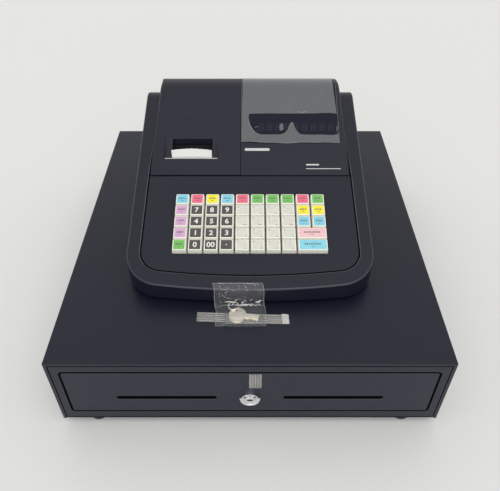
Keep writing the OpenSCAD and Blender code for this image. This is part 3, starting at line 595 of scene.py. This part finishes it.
def housing_pieces():
    """Everything of the register's housing."""
    register_case()
    keyboard_deck()
    cover_pieces()
    rounded("lower_case", [], MATERIALS["housing"])
    rounded("display_window", [], MATERIALS["smoked_lens"])


# ---------------------------------------------------------------- the covers' surface and what lies on it

COVER_TILT = math.radians(25)
COVER_R = 38.9 * MM             # radius of the covers' rear roll
HOUSING_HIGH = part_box("display_housing")[1]
COVER_CY, COVER_CZ = HOUSING_HIGH.y - COVER_R, HOUSING_HIGH.z - COVER_R
COVER_FLAT = (COVER_CY - COVER_R * math.sin(COVER_TILT) - FRONT - SEAM * MM) / math.cos(COVER_TILT)


def on_cover(x, along, up=0.0):
    """A point on the covers, in metres: across, along the surface from the front seam, and above it."""
    past = max(0.0, along - COVER_FLAT)
    angle = math.pi / 2 + COVER_TILT - past / COVER_R
    short = max(0.0, COVER_FLAT - along)
    reach = COVER_R + up
    return Vector((x, COVER_CY + reach * math.cos(angle) - short * math.cos(COVER_TILT),
                   COVER_CZ + reach * math.sin(angle) - short * math.sin(COVER_TILT)))


def slope(y):
    """Distance along the flat of the covers, from y in mm behind the case front."""
    return (y - SEAM) * MM / math.cos(COVER_TILT)


def inside(point, loop):
    """True if a flat point lies inside a closed loop."""
    odd = False
    for a, b in zip(loop, loop[1:] + loop[:1]):
        if (a[1] > point[1]) != (b[1] > point[1]):
            odd ^= point[0] < a[0] + (point[1] - a[1]) * (b[0] - a[0]) / (b[1] - a[1])
    return odd


def cut_sheet(outline, holes, step, place, thick):
    """A thin closed sheet with holes. place(u, v, up) puts a flat point in space."""
    loops = [outline] + holes
    points, edges = [], []
    for loop in loops:
        first = len(points)
        points += [Vector(p) for p in loop]
        edges += [(first + i, first + (i + 1) % len(loop)) for i in range(len(loop))]
    us, vs = [p[0] for p in outline], [p[1] for p in outline]
    for i in range(int((max(us) - min(us)) / step)):
        for j in range(int((max(vs) - min(vs)) / step)):
            spot = (min(us) + (i + 0.5) * step, min(vs) + (j + 0.5) * step)
            if inside(spot, outline) and not any(inside(spot, hole) for hole in holes):
                points.append(Vector(spot))
    flat, _, faces, *_ = geometry.delaunay_2d_cdt(points, edges, [], 0, 1e-7)
    kept = []
    for face in faces:
        spot = sum((flat[i] for i in face), Vector((0, 0))) / len(face)
        if inside(spot, outline) and not any(inside(spot, hole) for hole in holes):
            kept.append(face)
    bm = bmesh.new()
    low = [bm.verts.new(place(p.x, p.y, 0)) for p in flat]
    high = [bm.verts.new(place(p.x, p.y, thick)) for p in flat]
    used = {}
    for face in kept:
        bm.faces.new([high[i] for i in face])
        bm.faces.new([low[i] for i in face][::-1])
        for a, b in zip(face, face[1:] + face[:1]):
            used[(a, b)] = True
    for a, b in used:
        if (b, a) not in used:
            bm.faces.new((high[a], low[a], low[b], high[b]))
    bmesh.ops.delete(bm, geom=[v for v in bm.verts if not v.link_faces], context="VERTS")
    return bm


# Outline of the patch where the film clings to the lens, in mm: across, and behind the case front.
PATCH = [(-1.2, 307.6), (-1.7, 301), (-0.8, 294.7), (1.4, 289), (4.6, 284.5), (8.4, 281.2), (12.5, 279.6),
         (25, 279.3), (37.6, 279.6), (43.3, 281.8), (47.1, 286.1), (50.0, 292), (51.4, 294.7), (52.7, 295.4),
         (54.0, 294.4), (55.2, 291.5), (57.5, 286.1), (61.2, 281.4), (66, 279.4), (88, 279.2),
         (108.8, 279.8), (110, 293), (109.7, 307.6), (80, 308), (52, 307.8), (24, 308)]


FILM_GAP = 0.7 * MM             # between the printer cover and the film
FILM_RIGHT = 111 * MM
FILM_FRONT = 268.9              # mm behind the case front
FILM_OVER = 62 * MM             # how far the film runs on past the flat of the covers


def film_pieces():
    """The loose protective film over the display, and the clear patch in it."""
    x0, x1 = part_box("printer_cover")[1].x + FILM_GAP, FILM_RIGHT
    start, end = slope(FILM_FRONT), COVER_FLAT + FILM_OVER
    thick = 0.1 * MM

    def ripple(x, along):
        """Height of the film above the cover: creased all over, and curling at its front edge."""
        curl = max(0.0, 1 - (along - start) / (9 * MM)) ** 2
        wave = 0.55 * math.sin(x * 95 + 0.8) + 0.45 * math.sin(x * 41 + 2)
        crease = 0.16 * noise.noise(Vector((x * 60, along * 60, 3)))
        return (0.22 + abs(crease) + curl * (0.55 + 0.5 * wave)) * MM

    def place(x, along, up):
        return on_cover(x, along, ripple(x, along) + up)

    def front_edge(t):
        wave = 0.5 * math.sin(t * 9 + 1) + 0.4 * math.sin(t * 23) - 0.8 * t
        return x0 + (x1 - x0) * t, start + wave * MM

    outline = [front_edge(i / 40) for i in range(41)]
    outline += [(x, end) for x, _ in reversed(outline)]
    patch = soft_path([Vector((x * MM, slope(y))) for x, y in PATCH + PATCH[:1]], 3)[:-1]
    oval = [((39.3 + 2.6 * math.cos(a)) * MM, slope(289.8 + 4.6 * math.sin(a) + 1.2 * math.cos(a)))
            for a in (math.radians(i * 18) for i in range(20))]
    window = [[tuple(p) for p in patch]]
    for name, edge, holes, step in (("film_sheet", outline, window, 3 * MM),
                                    ("film_bubble", oval, [], 1 * MM)):
        sheet = mesh_object(name, cut_sheet(edge, holes, step, place, thick), MATERIALS["film"])
        attach(smooth(sheet, 50, False), "display_film", name == "film_sheet")

    # Painted highlights: light threads along the patch's border, a few small creases, and the film's sides and
    # front edge.
    threads = bmesh.new()
    for chain in ([PATCH[i] for i in range(1, 7)], [PATCH[i] for i in range(10, 16)],
                  [(6.5, 288.5), (8.0, 289.6), (9.6, 289.8)], [(108.4, 283), (108.9, 287), (108.3, 290)],
                  [(60, 311), (66, 309.5), (73, 312)], [(38, 285), (40.5, 285.6), (41.6, 288)]):
        path = soft_path([on_cover(x * MM, slope(y), 0.36 * MM) for x, y in chain])
        bead(threads, path, 0.2 * MM)
    for side in (x0 + 0.2 * MM, x1 - 0.2 * MM):
        bead(threads, [place(side, start + (end - start) * i / 60, 0.06 * MM) for i in range(61)], 0.1 * MM)
    bead(threads, [place(*front_edge(i / 60), 0.08 * MM) for i in range(61)], 0.16 * MM)
    highlight_threads = mesh_object("film_highlight_threads", threads, MATERIALS["film_highlight"])
    attach(smooth(highlight_threads, 60, False), "display_film", False)


def display_digits():
    """The unlit digits that show faintly in both displays."""
    def on_front(u, v, up):
        return on_cover((13.5 + u) * MM, slope(289.5) + v * MM, up)

    low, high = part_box("rear_window")

    def on_rear(u, v, up):
        return Vector((high.x - (8 + u) * MM, high.y + up, (low.z + high.z) / 2 + v * MM))

    digit_cells("display_digits", 9, 11, on_front, "display_window")
    digit_cells("rear_digits", 7, 10.4, on_rear, "rear_window")


def digit_cells(name, count, pitch, place, node):
    """Seven-segment cells, pitch mm apart, just above a lens. place(u, v, up) takes u and v in mm."""
    bm = bmesh.new()
    for i in range(count):
        for row, vertical, shift in ((1, 0, 0), (0, 0, 0), (-1, 0, 0), (0.5, 1, -1), (0.5, 1, 1),
                                     (-0.5, 1, -1), (-0.5, 1, 1)):
            u0, v0 = pitch * i + 2.6 * shift + 0.5 * row, 4.6 * row
            wide, tall = (0.45, 1.85) if vertical else (1.75, 0.45)
            ends = [(-wide, -tall), (wide, -tall), (wide, tall), (-wide, tall)]
            stack(bm, [[bm.verts.new(place(u0 + u + 0.1 * v, v0 + v, up * MM)) for u, v in ends]
                       for up in (0.02, 0.08)])
    attach(mesh_object(name, bm, MATERIALS["ghost"]), node, False)


def cover_marks():
    """Plain bars in place of printed marks, and the faint crease across both covers as a thin thread in the
    painted highlight colour.
    """
    bars = bmesh.new()
    for x0, x1, y0, y1 in ((-6.6, 24.2, 258.0, 261.4), (68, 84, 239.2, 241.0), (68, 110, 234.6, 235.5)):
        half = (y1 - y0) / 2
        turns = [(cx, math.radians(start + 30 * i)) for cx, start in ((x1 - half, -90), (x0 + half, 90))
                 for i in range(7)]
        stack(bars, [[bars.verts.new(on_cover((cx + half * math.cos(a)) * MM,
                                              slope((y0 + y1) / 2 + half * math.sin(a)), up * MM))
                      for cx, a in turns] for up in (0.01, 0.07)])
    attach(mesh_object("cover_bars", bars, MATERIALS["mark"]), "display_housing", False)
    low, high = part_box("printer_cover")
    crease = bmesh.new()
    bead(crease, [on_cover(low.x + 9 * MM + (high.x - low.x - 10 * MM) * i / 40, slope(308), 0.0)
                  for i in range(41)], 0.13 * MM)
    attach(mesh_object("cover_crease", crease, MATERIALS["housing_highlight"]), "printer_cover", False)


def paper_piece():
    """The receipt: its torn edge arched, its free end leaning back a little."""
    bm = cad_mesh("receipt_paper")
    low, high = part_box("receipt_paper")
    for i in range(1, 16):
        x = low.x + (high.x - low.x) * i / 16
        bmesh.ops.bisect_plane(bm, geom=bm.verts[:] + bm.edges[:] + bm.faces[:], dist=1e-7,
                               plane_co=(x, 0, 0), plane_no=(1, 0, 0))
    half = (high.x - low.x) / 2
    for vert in bm.verts:
        if vert.co.z > high.z - 0.5 * MM:
            off = (vert.co.x - low.x) / half - 1
            ragged = 0.18 * math.sin(vert.co.x * 5200)
            vert.co.z -= (1.4 * abs(off) ** 2.4 - ragged + 0.9) * MM
            vert.co.y += 1.4 * MM * (1 - abs(off))
    attach(smooth(mesh_object("receipt", bm, MATERIALS["receipt_paper"]), 40), "receipt_paper")


# ---------------------------------------------------------------- packaging: tape and key bag

def packing_materials():
    """The clear and half clear materials of the packaging, with the painted sheen and glints of the bag's creases.
    """
    made = {}
    for name, base, alpha, rough in (("clear_film", (0.70, 0.71, 0.73), 0.055, 0.10),
                                     ("bag_seam_and_sheen", (0.85, 0.86, 0.88), 0.45, 0.25),
                                     ("film_glint", (0.97, 0.98, 1.0), 0.92, 0.2),
                                     ("tape_rib", (0.70, 0.69, 0.66), 0.80, 0.4),
                                     ("tape_web", (0.40, 0.40, 0.39), 0.42, 0.3)):
        material = plastic(name, base, rough, 500, 0.02, 0.92)
        material.node_tree.nodes["Principled BSDF"].inputs["Alpha"].default_value = alpha
        made[name] = material
    return made


TAPE_WIDE = 13 * MM


def tape(name, place, long, node, fold=0.0, thin=1.0):
    """A ribbed strip of tape, its end folded over or not. place(u, v, up) takes u across and v along it."""
    rng = random.Random(name)
    wide, ribs = TAPE_WIDE, 5
    web, rib_mesh = bmesh.new(), bmesh.new()
    steps = max(6, int(long / (2.5 * MM)))
    loops = []
    for i in range(steps + 1):
        v = long * i / steps
        far = wide + 0.1 * MM * math.sin(i * 1.3)
        frayed = rng.uniform(0, 0.5) * MM if i in (0, steps) else 0
        section = ((0, 0.02 * MM), (far, 0.02 * MM), (far, 0.09 * MM), (0, 0.09 * MM))
        loops.append([web.verts.new(place(u, v + frayed, up)) for u, up in section])
    stack(web, loops)
    for k in range(ribs):
        u = wide * (k + 0.5) / ribs
        radius = rng.uniform(0.3, 0.55) * MM
        path = [place(u + 0.12 * MM * math.sin(i * 0.9 + k), long * i / steps, 0.16 * thin * MM)
                for i in range(steps + 1)]
        bead(rib_mesh, path, radius * 0.6 * thin)
    if fold:
        for row in range(3):
            v0 = long - fold + row * 0.2 * MM
            corners = ((-0.4 * MM, v0), (wide + 0.3 * MM, v0 - 0.5 * MM),
                       (wide, long - row * 0.6 * MM), (0.3 * MM, long + 0.4 * MM))
            stack(rib_mesh, [[rib_mesh.verts.new(place(u, v, up + row * 0.25 * MM)) for u, v in corners]
                             for up in (0.3 * MM, 0.42 * MM)])
    attach(mesh_object(name + "_web", web, PACKING["tape_web"]), node, False)
    threads = mesh_object(name + "_ribs", rib_mesh, PACKING["tape_rib"])
    attach(smooth(threads, 50, False), node, False)


def tape_pieces():
    """A scrap on the drawer front, and the strip over the case, which passes under the key bag."""
    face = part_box("drawer_front")[0].y

    def on_front(u, v, up):
        return Vector((-1 * MM + u, face - up, TOP - 17 * MM - v))

    def on_top(x0, y0, lean):
        return lambda u, v, up: Vector((x0 * MM + v, FRONT + y0 * MM + u + v * lean, TOP + up))

    tape("drawer_tape", on_front, 24 * MM, "drawer_front")
    tape("key_tape_left", on_top(-56.5, 54.5, -0.04), 30 * MM, "case_shell")
    tape("key_tape_middle", on_top(-27.5, 53.3, -0.04), 42 * MM, "case_shell", thin=0.4)
    tape("key_tape_right", on_top(13, 51.5, -0.03), 28 * MM, "case_shell", fold=7 * MM)


BAG_LEFT, BAG_RIGHT = -36.5 * MM, 17 * MM
# The bag's section, in mm: behind the case front, and above the case.
BAG_RUN = [(47.5, 0.2), (58, 0.2), (68, 0.3), (73.5, 1.0), (76.2, 4.0), (77.0, 10), (77.2, 17), (77.6, 22.6),
           (79.0, 24.6), (81.6, 26.2), (84.5, 27.0)]


def key_bag():
    """A clear bag holding the keys: two thin sheets joined at the edge, bulged over the keys, with painted sheen
    and glints on its creases.
    """
    run = soft_path([Vector((0, FRONT + y * MM, TOP + z * MM)) for y, z in BAG_RUN], 5)
    total = len(run) - 1
    left, right = BAG_LEFT, BAG_RIGHT
    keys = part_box("lock_keys")
    key_top = keys[1].z - TOP

    def bulge(x, y):
        dx = max(0.0, keys[0].x - x, x - keys[1].x) / (7 * MM)
        dy = max(0.0, keys[0].y - y, y - keys[1].y) / (7 * MM)
        return max(0.0, 1 - math.hypot(dx, dy)) ** 0.7

    def place(x, t, side):
        """A point of the lower (0) or upper (1) sheet: across, and along the run in steps."""
        i = min(int(t), total - 1)
        spot = run[i].lerp(run[i + 1], t - i)
        ahead = (run[min(i + 1, total)] - run[max(i - 1, 0)]).normalized()
        out = Vector((0, -ahead.z, ahead.y))
        lift = bulge(x, spot.y) * (spot.z < TOP + 2 * MM)
        edge = min(1.0, (x - left) / (4 * MM), (right - x) / (4 * MM), t / 3, (total - t) / 3)
        crumple = (noise.noise(Vector((x * 190, t * 0.31, 1.7)))
                   + 0.5 * noise.noise(Vector((x * 430, t * 0.8, 5))))
        if side:
            puff = lift * (key_top + 0.5 * MM) + edge * (0.6 + 1.5 * abs(crumple)) * MM * (1 - 0.6 * lift)
            gap = puff + 0.12 * MM
        else:
            gap = 0.25 * MM * (1 - lift) - 0.15 * MM * lift
        ragged = 0.5 * MM * noise.noise(Vector((x * 40, t * 0.3, 9)))
        point = spot + out * gap
        skew = (-3.2 * t / total + 0.4 * math.sin(t * 0.21)) * MM
        return Vector((x + ragged + skew, point.y, max(point.z, TOP + 0.03 * MM)))

    def above(x, t):
        return place(x, t, 1) + Vector((0, -0.1, 0.1)) * MM

    across, along = 44, total
    bm = bmesh.new()
    grid = [[[bm.verts.new(place(left + (right - left) * i / across, j, side)) for j in range(along + 1)]
             for i in range(across + 1)] for side in (0, 1)]
    for side, sheet in enumerate(grid):
        for i in range(across):
            for j in range(along):
                quad = [sheet[i][j], sheet[i + 1][j], sheet[i + 1][j + 1], sheet[i][j + 1]]
                bm.faces.new(quad if side else quad[::-1])
    border = [(i, 0) for i in range(across)] + [(across, j) for j in range(along)]
    border += [(i, along) for i in range(across, 0, -1)] + [(0, j) for j in range(along, 0, -1)]
    for (a, b), (c, d) in zip(border, border[1:] + border[:1]):
        bm.faces.new((grid[0][a][b], grid[0][c][d], grid[1][c][d], grid[1][a][b]))

    # Pale half-clear lines: the bag's real seals, and its dull creases as painted sheen.
    seams = bmesh.new()
    lines = [[(left + (right - left) * i / 30, t) for i in range(31)]
             for t in (0.4, 0.31 * total, total - 0.4)]
    lines += [[(x, total * i / 40) for i in range(41)] for x in (left + 0.3 * MM, right - 0.3 * MM)]
    for path in lines:
        bead(seams, [above(x, t) for x, t in path], 0.22 * MM)

    # Painted sheen and glints: pale threads along the bag's creases, the brightest as white glints.
    glints = bmesh.new()
    rng = random.Random(11)
    dull_crease_sheen, bright_crease_glints = 30, 24
    for k in range(dull_crease_sheen + bright_crease_glints):
        bright = k >= dull_crease_sheen
        x_from, t_from, t_to = (12 * MM, 0.26, 0.48) if bright else (4 * MM, 0.4, 0.97)
        x, t = rng.uniform(left + x_from, right - 5 * MM), rng.uniform(t_from, t_to) * total
        heading, length, bend = rng.uniform(0, math.pi), rng.uniform(3, 9), rng.uniform(-0.5, 0.5)
        path = []
        for i in range(9):
            x = min(max(x + math.cos(heading) * length / 9 * MM, left + MM), right - MM)
            t = min(max(t + math.sin(heading) * length / 9 * 0.8, 1), total - 1)
            heading += bend
            path.append(above(x, t))
        bead(glints if bright else seams, path, rng.uniform(0.1, 0.24) * (2.2 if bright else 1) * MM)
    for name, mesh, material in (("key_bag_sheet", bm, "clear_film"),
                                 ("key_bag_glints", glints, "film_glint"),
                                 ("key_bag_seams", seams, "bag_seam_and_sheen")):
        attach(smooth(mesh_object(name, mesh, PACKING[material]), 60, False), "lock_keys", False)


# ---------------------------------------------------------------- keyboard

PRESS = Vector(next(j for j in frame["joints"] if j["name"] == "key_5_press")["axis"])
DECK_X = Vector((1, 0, 0))
DECK_UP = -PRESS.normalized()
DECK_BACK = DECK_UP.cross(DECK_X)
TO_DECK = Matrix((DECK_X, DECK_BACK, DECK_UP))
FROM_DECK = TO_DECK.inverted()

LABELS = {
    "blue": (0.22, 0.64, 0.81), "red": (0.88, 0.14, 0.24), "yellow": (0.97, 0.87, 0.015),
    "green": (0.165, 0.54, 0.095), "lilac": (0.70, 0.41, 0.65), "pink": (0.92, 0.57, 0.60),
    "sky": (0.25, 0.70, 0.84), "dark": (0.062, 0.058, 0.055), "blank": (0.72, 0.72, 0.65),
}
TOP_ROW = ["blue", "red", "yellow", "blue", "red", "green", "green", "green", "red", "green"]


def islands(node):
    """The separate solids of a node, as lists of points in the deck's own axes."""
    bm = bmesh.new()
    bm.from_mesh(NODES[node].data)
    bmesh.ops.remove_doubles(bm, verts=bm.verts, dist=WELD)
    left, found = set(bm.verts), []
    while left:
        group, waiting = [], [left.pop()]
        while waiting:
            vert = waiting.pop()
            group.append(TO_DECK @ vert.co)
            for edge in vert.link_edges:
                other = edge.other_vert(vert)
                if other in left:
                    left.remove(other)
                    waiting.append(other)
        found.append(group)
    bm.free()
    found.sort(key=lambda g: (-round(max(p.y for p in g) / (5 * MM)), min(p.x for p in g)))
    return found


def ring(bm, x0, x1, y0, y1, radius, z, steps=4):
    """A loop of vertices round a rectangle with round corners, in deck axes."""
    loop = []
    corners = [(x1 - radius, y1 - radius, 0), (x0 + radius, y1 - radius, 90),
               (x0 + radius, y0 + radius, 180), (x1 - radius, y0 + radius, 270)]
    for cx, cy, start in corners:
        for i in range(steps + 1):
            angle = math.radians(start + 90 * i / steps)
            point = Vector((cx + radius * math.cos(angle), cy + radius * math.sin(angle), z))
            loop.append(bm.verts.new(FROM_DECK @ point))
    return loop


def cap_mesh(bm, group):
    """A key cap with sloping sides, a rolled top edge and a shallow dish. Returns its top rectangle."""
    xs, ys, zs = [[p[i] for p in group] for i in range(3)]
    x0, x1, y0, y1, top = min(xs), max(xs), min(ys), max(ys), max(zs)
    lip = 0.9 * MM
    draft = 0.65 * MM
    levels = [(0.0, 9.4), (0.0, 5.4), (draft * 0.5, 2.6), (draft, 0.9)]
    loops = [ring(bm, x0 + d, x1 - d, y0 + d, y1 - d, 1.2 * MM, top - down * MM) for d, down in levels]
    for i in range(1, 4):
        angle = math.radians(30 * i)
        d = draft + lip * (1 - math.cos(angle))
        loops.append(ring(bm, x0 + d, x1 - d, y0 + d, y1 - d, 1.2 * MM,
                          top - lip + lip * math.sin(angle)))
    stack(bm, loops)
    d = draft + lip
    return x0 + d, x1 - d, y0 + d, y1 - d, top


def plate(bm, x0, x1, y0, y1, low, high, radius):
    """A thin plate with round corners in deck axes."""
    stack(bm, [ring(bm, x0, x1, y0, y1, radius, z, 3) for z in (low, high)])


def label_place(rect):
    """Where the printed label lies under the clear cap: set towards the back."""
    x0, x1, y0, y1, top = rect
    return x0 + 0.35 * MM, x1 - 0.35 * MM, y1 - 11.9 * MM, y1 - 0.1 * MM, top


def glyph(text, size, centre, lift, bold):
    """A digit as a thin solid lying on the deck."""
    curve = bpy.data.curves.new("glyph", "FONT")
    curve.body = text
    curve.size = size
    curve.align_x = "CENTER"
    curve.align_y = "CENTER"
    curve.extrude = 0.03 * MM
    curve.offset = bold
    curve.resolution_u = 4
    holder = bpy.data.objects.new("glyph", curve)
    bpy.context.collection.objects.link(holder)
    bpy.context.view_layer.update()
    mesh = bpy.data.meshes.new_from_object(holder.evaluated_get(bpy.context.evaluated_depsgraph_get()))
    bm = bmesh.new()
    bm.from_mesh(mesh)
    box = [(min(v.co[i] for v in bm.verts) + max(v.co[i] for v in bm.verts)) / 2 for i in range(2)]
    for vert in bm.verts:
        across, along = 1.04 * (vert.co.x - box[0]), vert.co.y - box[1]
        vert.co = FROM_DECK @ Vector((centre[0] + across, centre[1] + along, lift + vert.co.z))
    bpy.data.objects.remove(holder)
    return bm


INK_HEIGHT = 0.09 * MM


def blank_print(ink, x0, x1, y0, y1, top, rng):
    """A small mark at the back left of a label, and a dash at its front right."""
    high = top + INK_HEIGHT
    plate(ink, x0 + 1.0 * MM, x0 + 2.0 * MM, y1 - 2.4 * MM, y1 - 1.2 * MM, top, high, 0.3 * MM)
    wide = rng.uniform(1.8, 4.2) * MM
    plate(ink, x1 - 1.2 * MM - wide, x1 - 1.2 * MM, y0 + 1.0 * MM, y0 + 1.5 * MM, top, high, 0.2 * MM)


def caption_print(ink, x0, x1, y0, y1, top, rng):
    """A row of dashes in place of a caption, and a line below it."""
    high = top + INK_HEIGHT
    mid, row = (x0 + x1) / 2, (y0 + y1) / 2
    count = 4 if x1 - x0 < 20 * MM else 8
    pitch = (x1 - x0) * 0.62 / count
    for i in range(count):
        start = mid + (i - count / 2) * pitch
        plate(ink, start, start + pitch * rng.uniform(0.6, 0.8), row - 0.1 * MM, row + 1.7 * MM, top, high,
              0.25 * MM)
    plate(ink, mid - pitch * 0.8, mid + pitch * 0.8, row - 2.9 * MM, row - 2.3 * MM, top, high, 0.2 * MM)


def key_piece(node, colours, text=None):
    """Every cap of a node, its labels and what is printed on them."""
    caps, ink = bmesh.new(), bmesh.new()
    label_meshes = {}
    rng = random.Random(node)
    for group, colour in zip(islands(node), colours):
        x0, x1, y0, y1, top = label_place(cap_mesh(caps, group))
        mesh = label_meshes.setdefault(colour, bmesh.new())
        plate(mesh, x0, x1, y0, y1, top - 0.2 * MM, top + 0.05 * MM, 0.5 * MM)
        if not text:
            draw = blank_print if colour == "blank" else caption_print
            draw(ink, x0, x1, y0, y1, top, rng)
    attach(smooth(mesh_object(node + "_caps", caps, MATERIALS["key_caps"]), 40), node)
    for colour, mesh in label_meshes.items():
        attach(mesh_object(f"{node}_label_{colour}", mesh, LABEL_MATERIALS[colour]), node, False)
    if text:
        ink.free()
        ink = glyph(text, 8.8 * MM, ((x0 + x1) / 2, (y0 + y1) / 2), top + 0.07 * MM, 0.21 * MM)
        attach(mesh_object(node + "_digit", ink, LABEL_MATERIALS["white"]), node, False)
    else:
        attach(mesh_object(node + "_print", ink, LABEL_MATERIALS["ink"]), node, False)


def label_materials():
    """The labels under the clear caps, and what is printed on them."""
    made = {}
    for name, colour in LABELS.items():
        material = shader("label_" + name, colour, 0.45, Coat_Weight=0.7, Coat_Roughness=0.16)
        mottle(material, colour, [c * 0.9 for c in colour], 260)
        made[name] = material
    white, ink = (0.85, 0.85, 0.83), (0.11, 0.10, 0.12)
    made["white"] = shader("label_white", white, 0.5, Coat_Weight=0.5)
    mottle(made["white"], white, (0.8, 0.8, 0.78), 300)
    made["ink"] = shader("label_ink", ink, 0.5)
    mottle(made["ink"], ink, (0.17, 0.16, 0.18), 500)
    return made


def keyboard_pieces():
    """The dark number keys, then the coloured and the pale ones."""
    for digit in ["0", "1", "2", "3", "4", "5", "6", "7", "8", "9", "00"]:
        key_piece("key_" + digit, ["dark"], digit)
    key_piece("key_point", ["dark"], ".")
    key_piece("top_row_keys", TOP_ROW)
    key_piece("side_keys", ["lilac", "yellow", "yellow", "lilac", "blue", "blue", "lilac", "green"])
    key_piece("department_keys", ["blank"] * 16)
    key_piece("key_subtotal", ["pink"])
    key_piece("key_cash", ["sky"])


# ---------------------------------------------------------------- the scene

make_camera()
MATERIALS = make_materials()
LABEL_MATERIALS = label_materials()
PACKING = packing_materials()
make_light()
make_floor()

case_pieces()
drawer_front_piece()
lock_pieces()
housing_pieces()
keyboard_pieces()
film_pieces()
display_digits()
cover_marks()
paper_piece()
tape_pieces()
key_bag()
for node_name, slot_name in SLOT_OF.items():
    if node_name not in REBUILT:
        rounded(node_name, [], MATERIALS[slot_name])
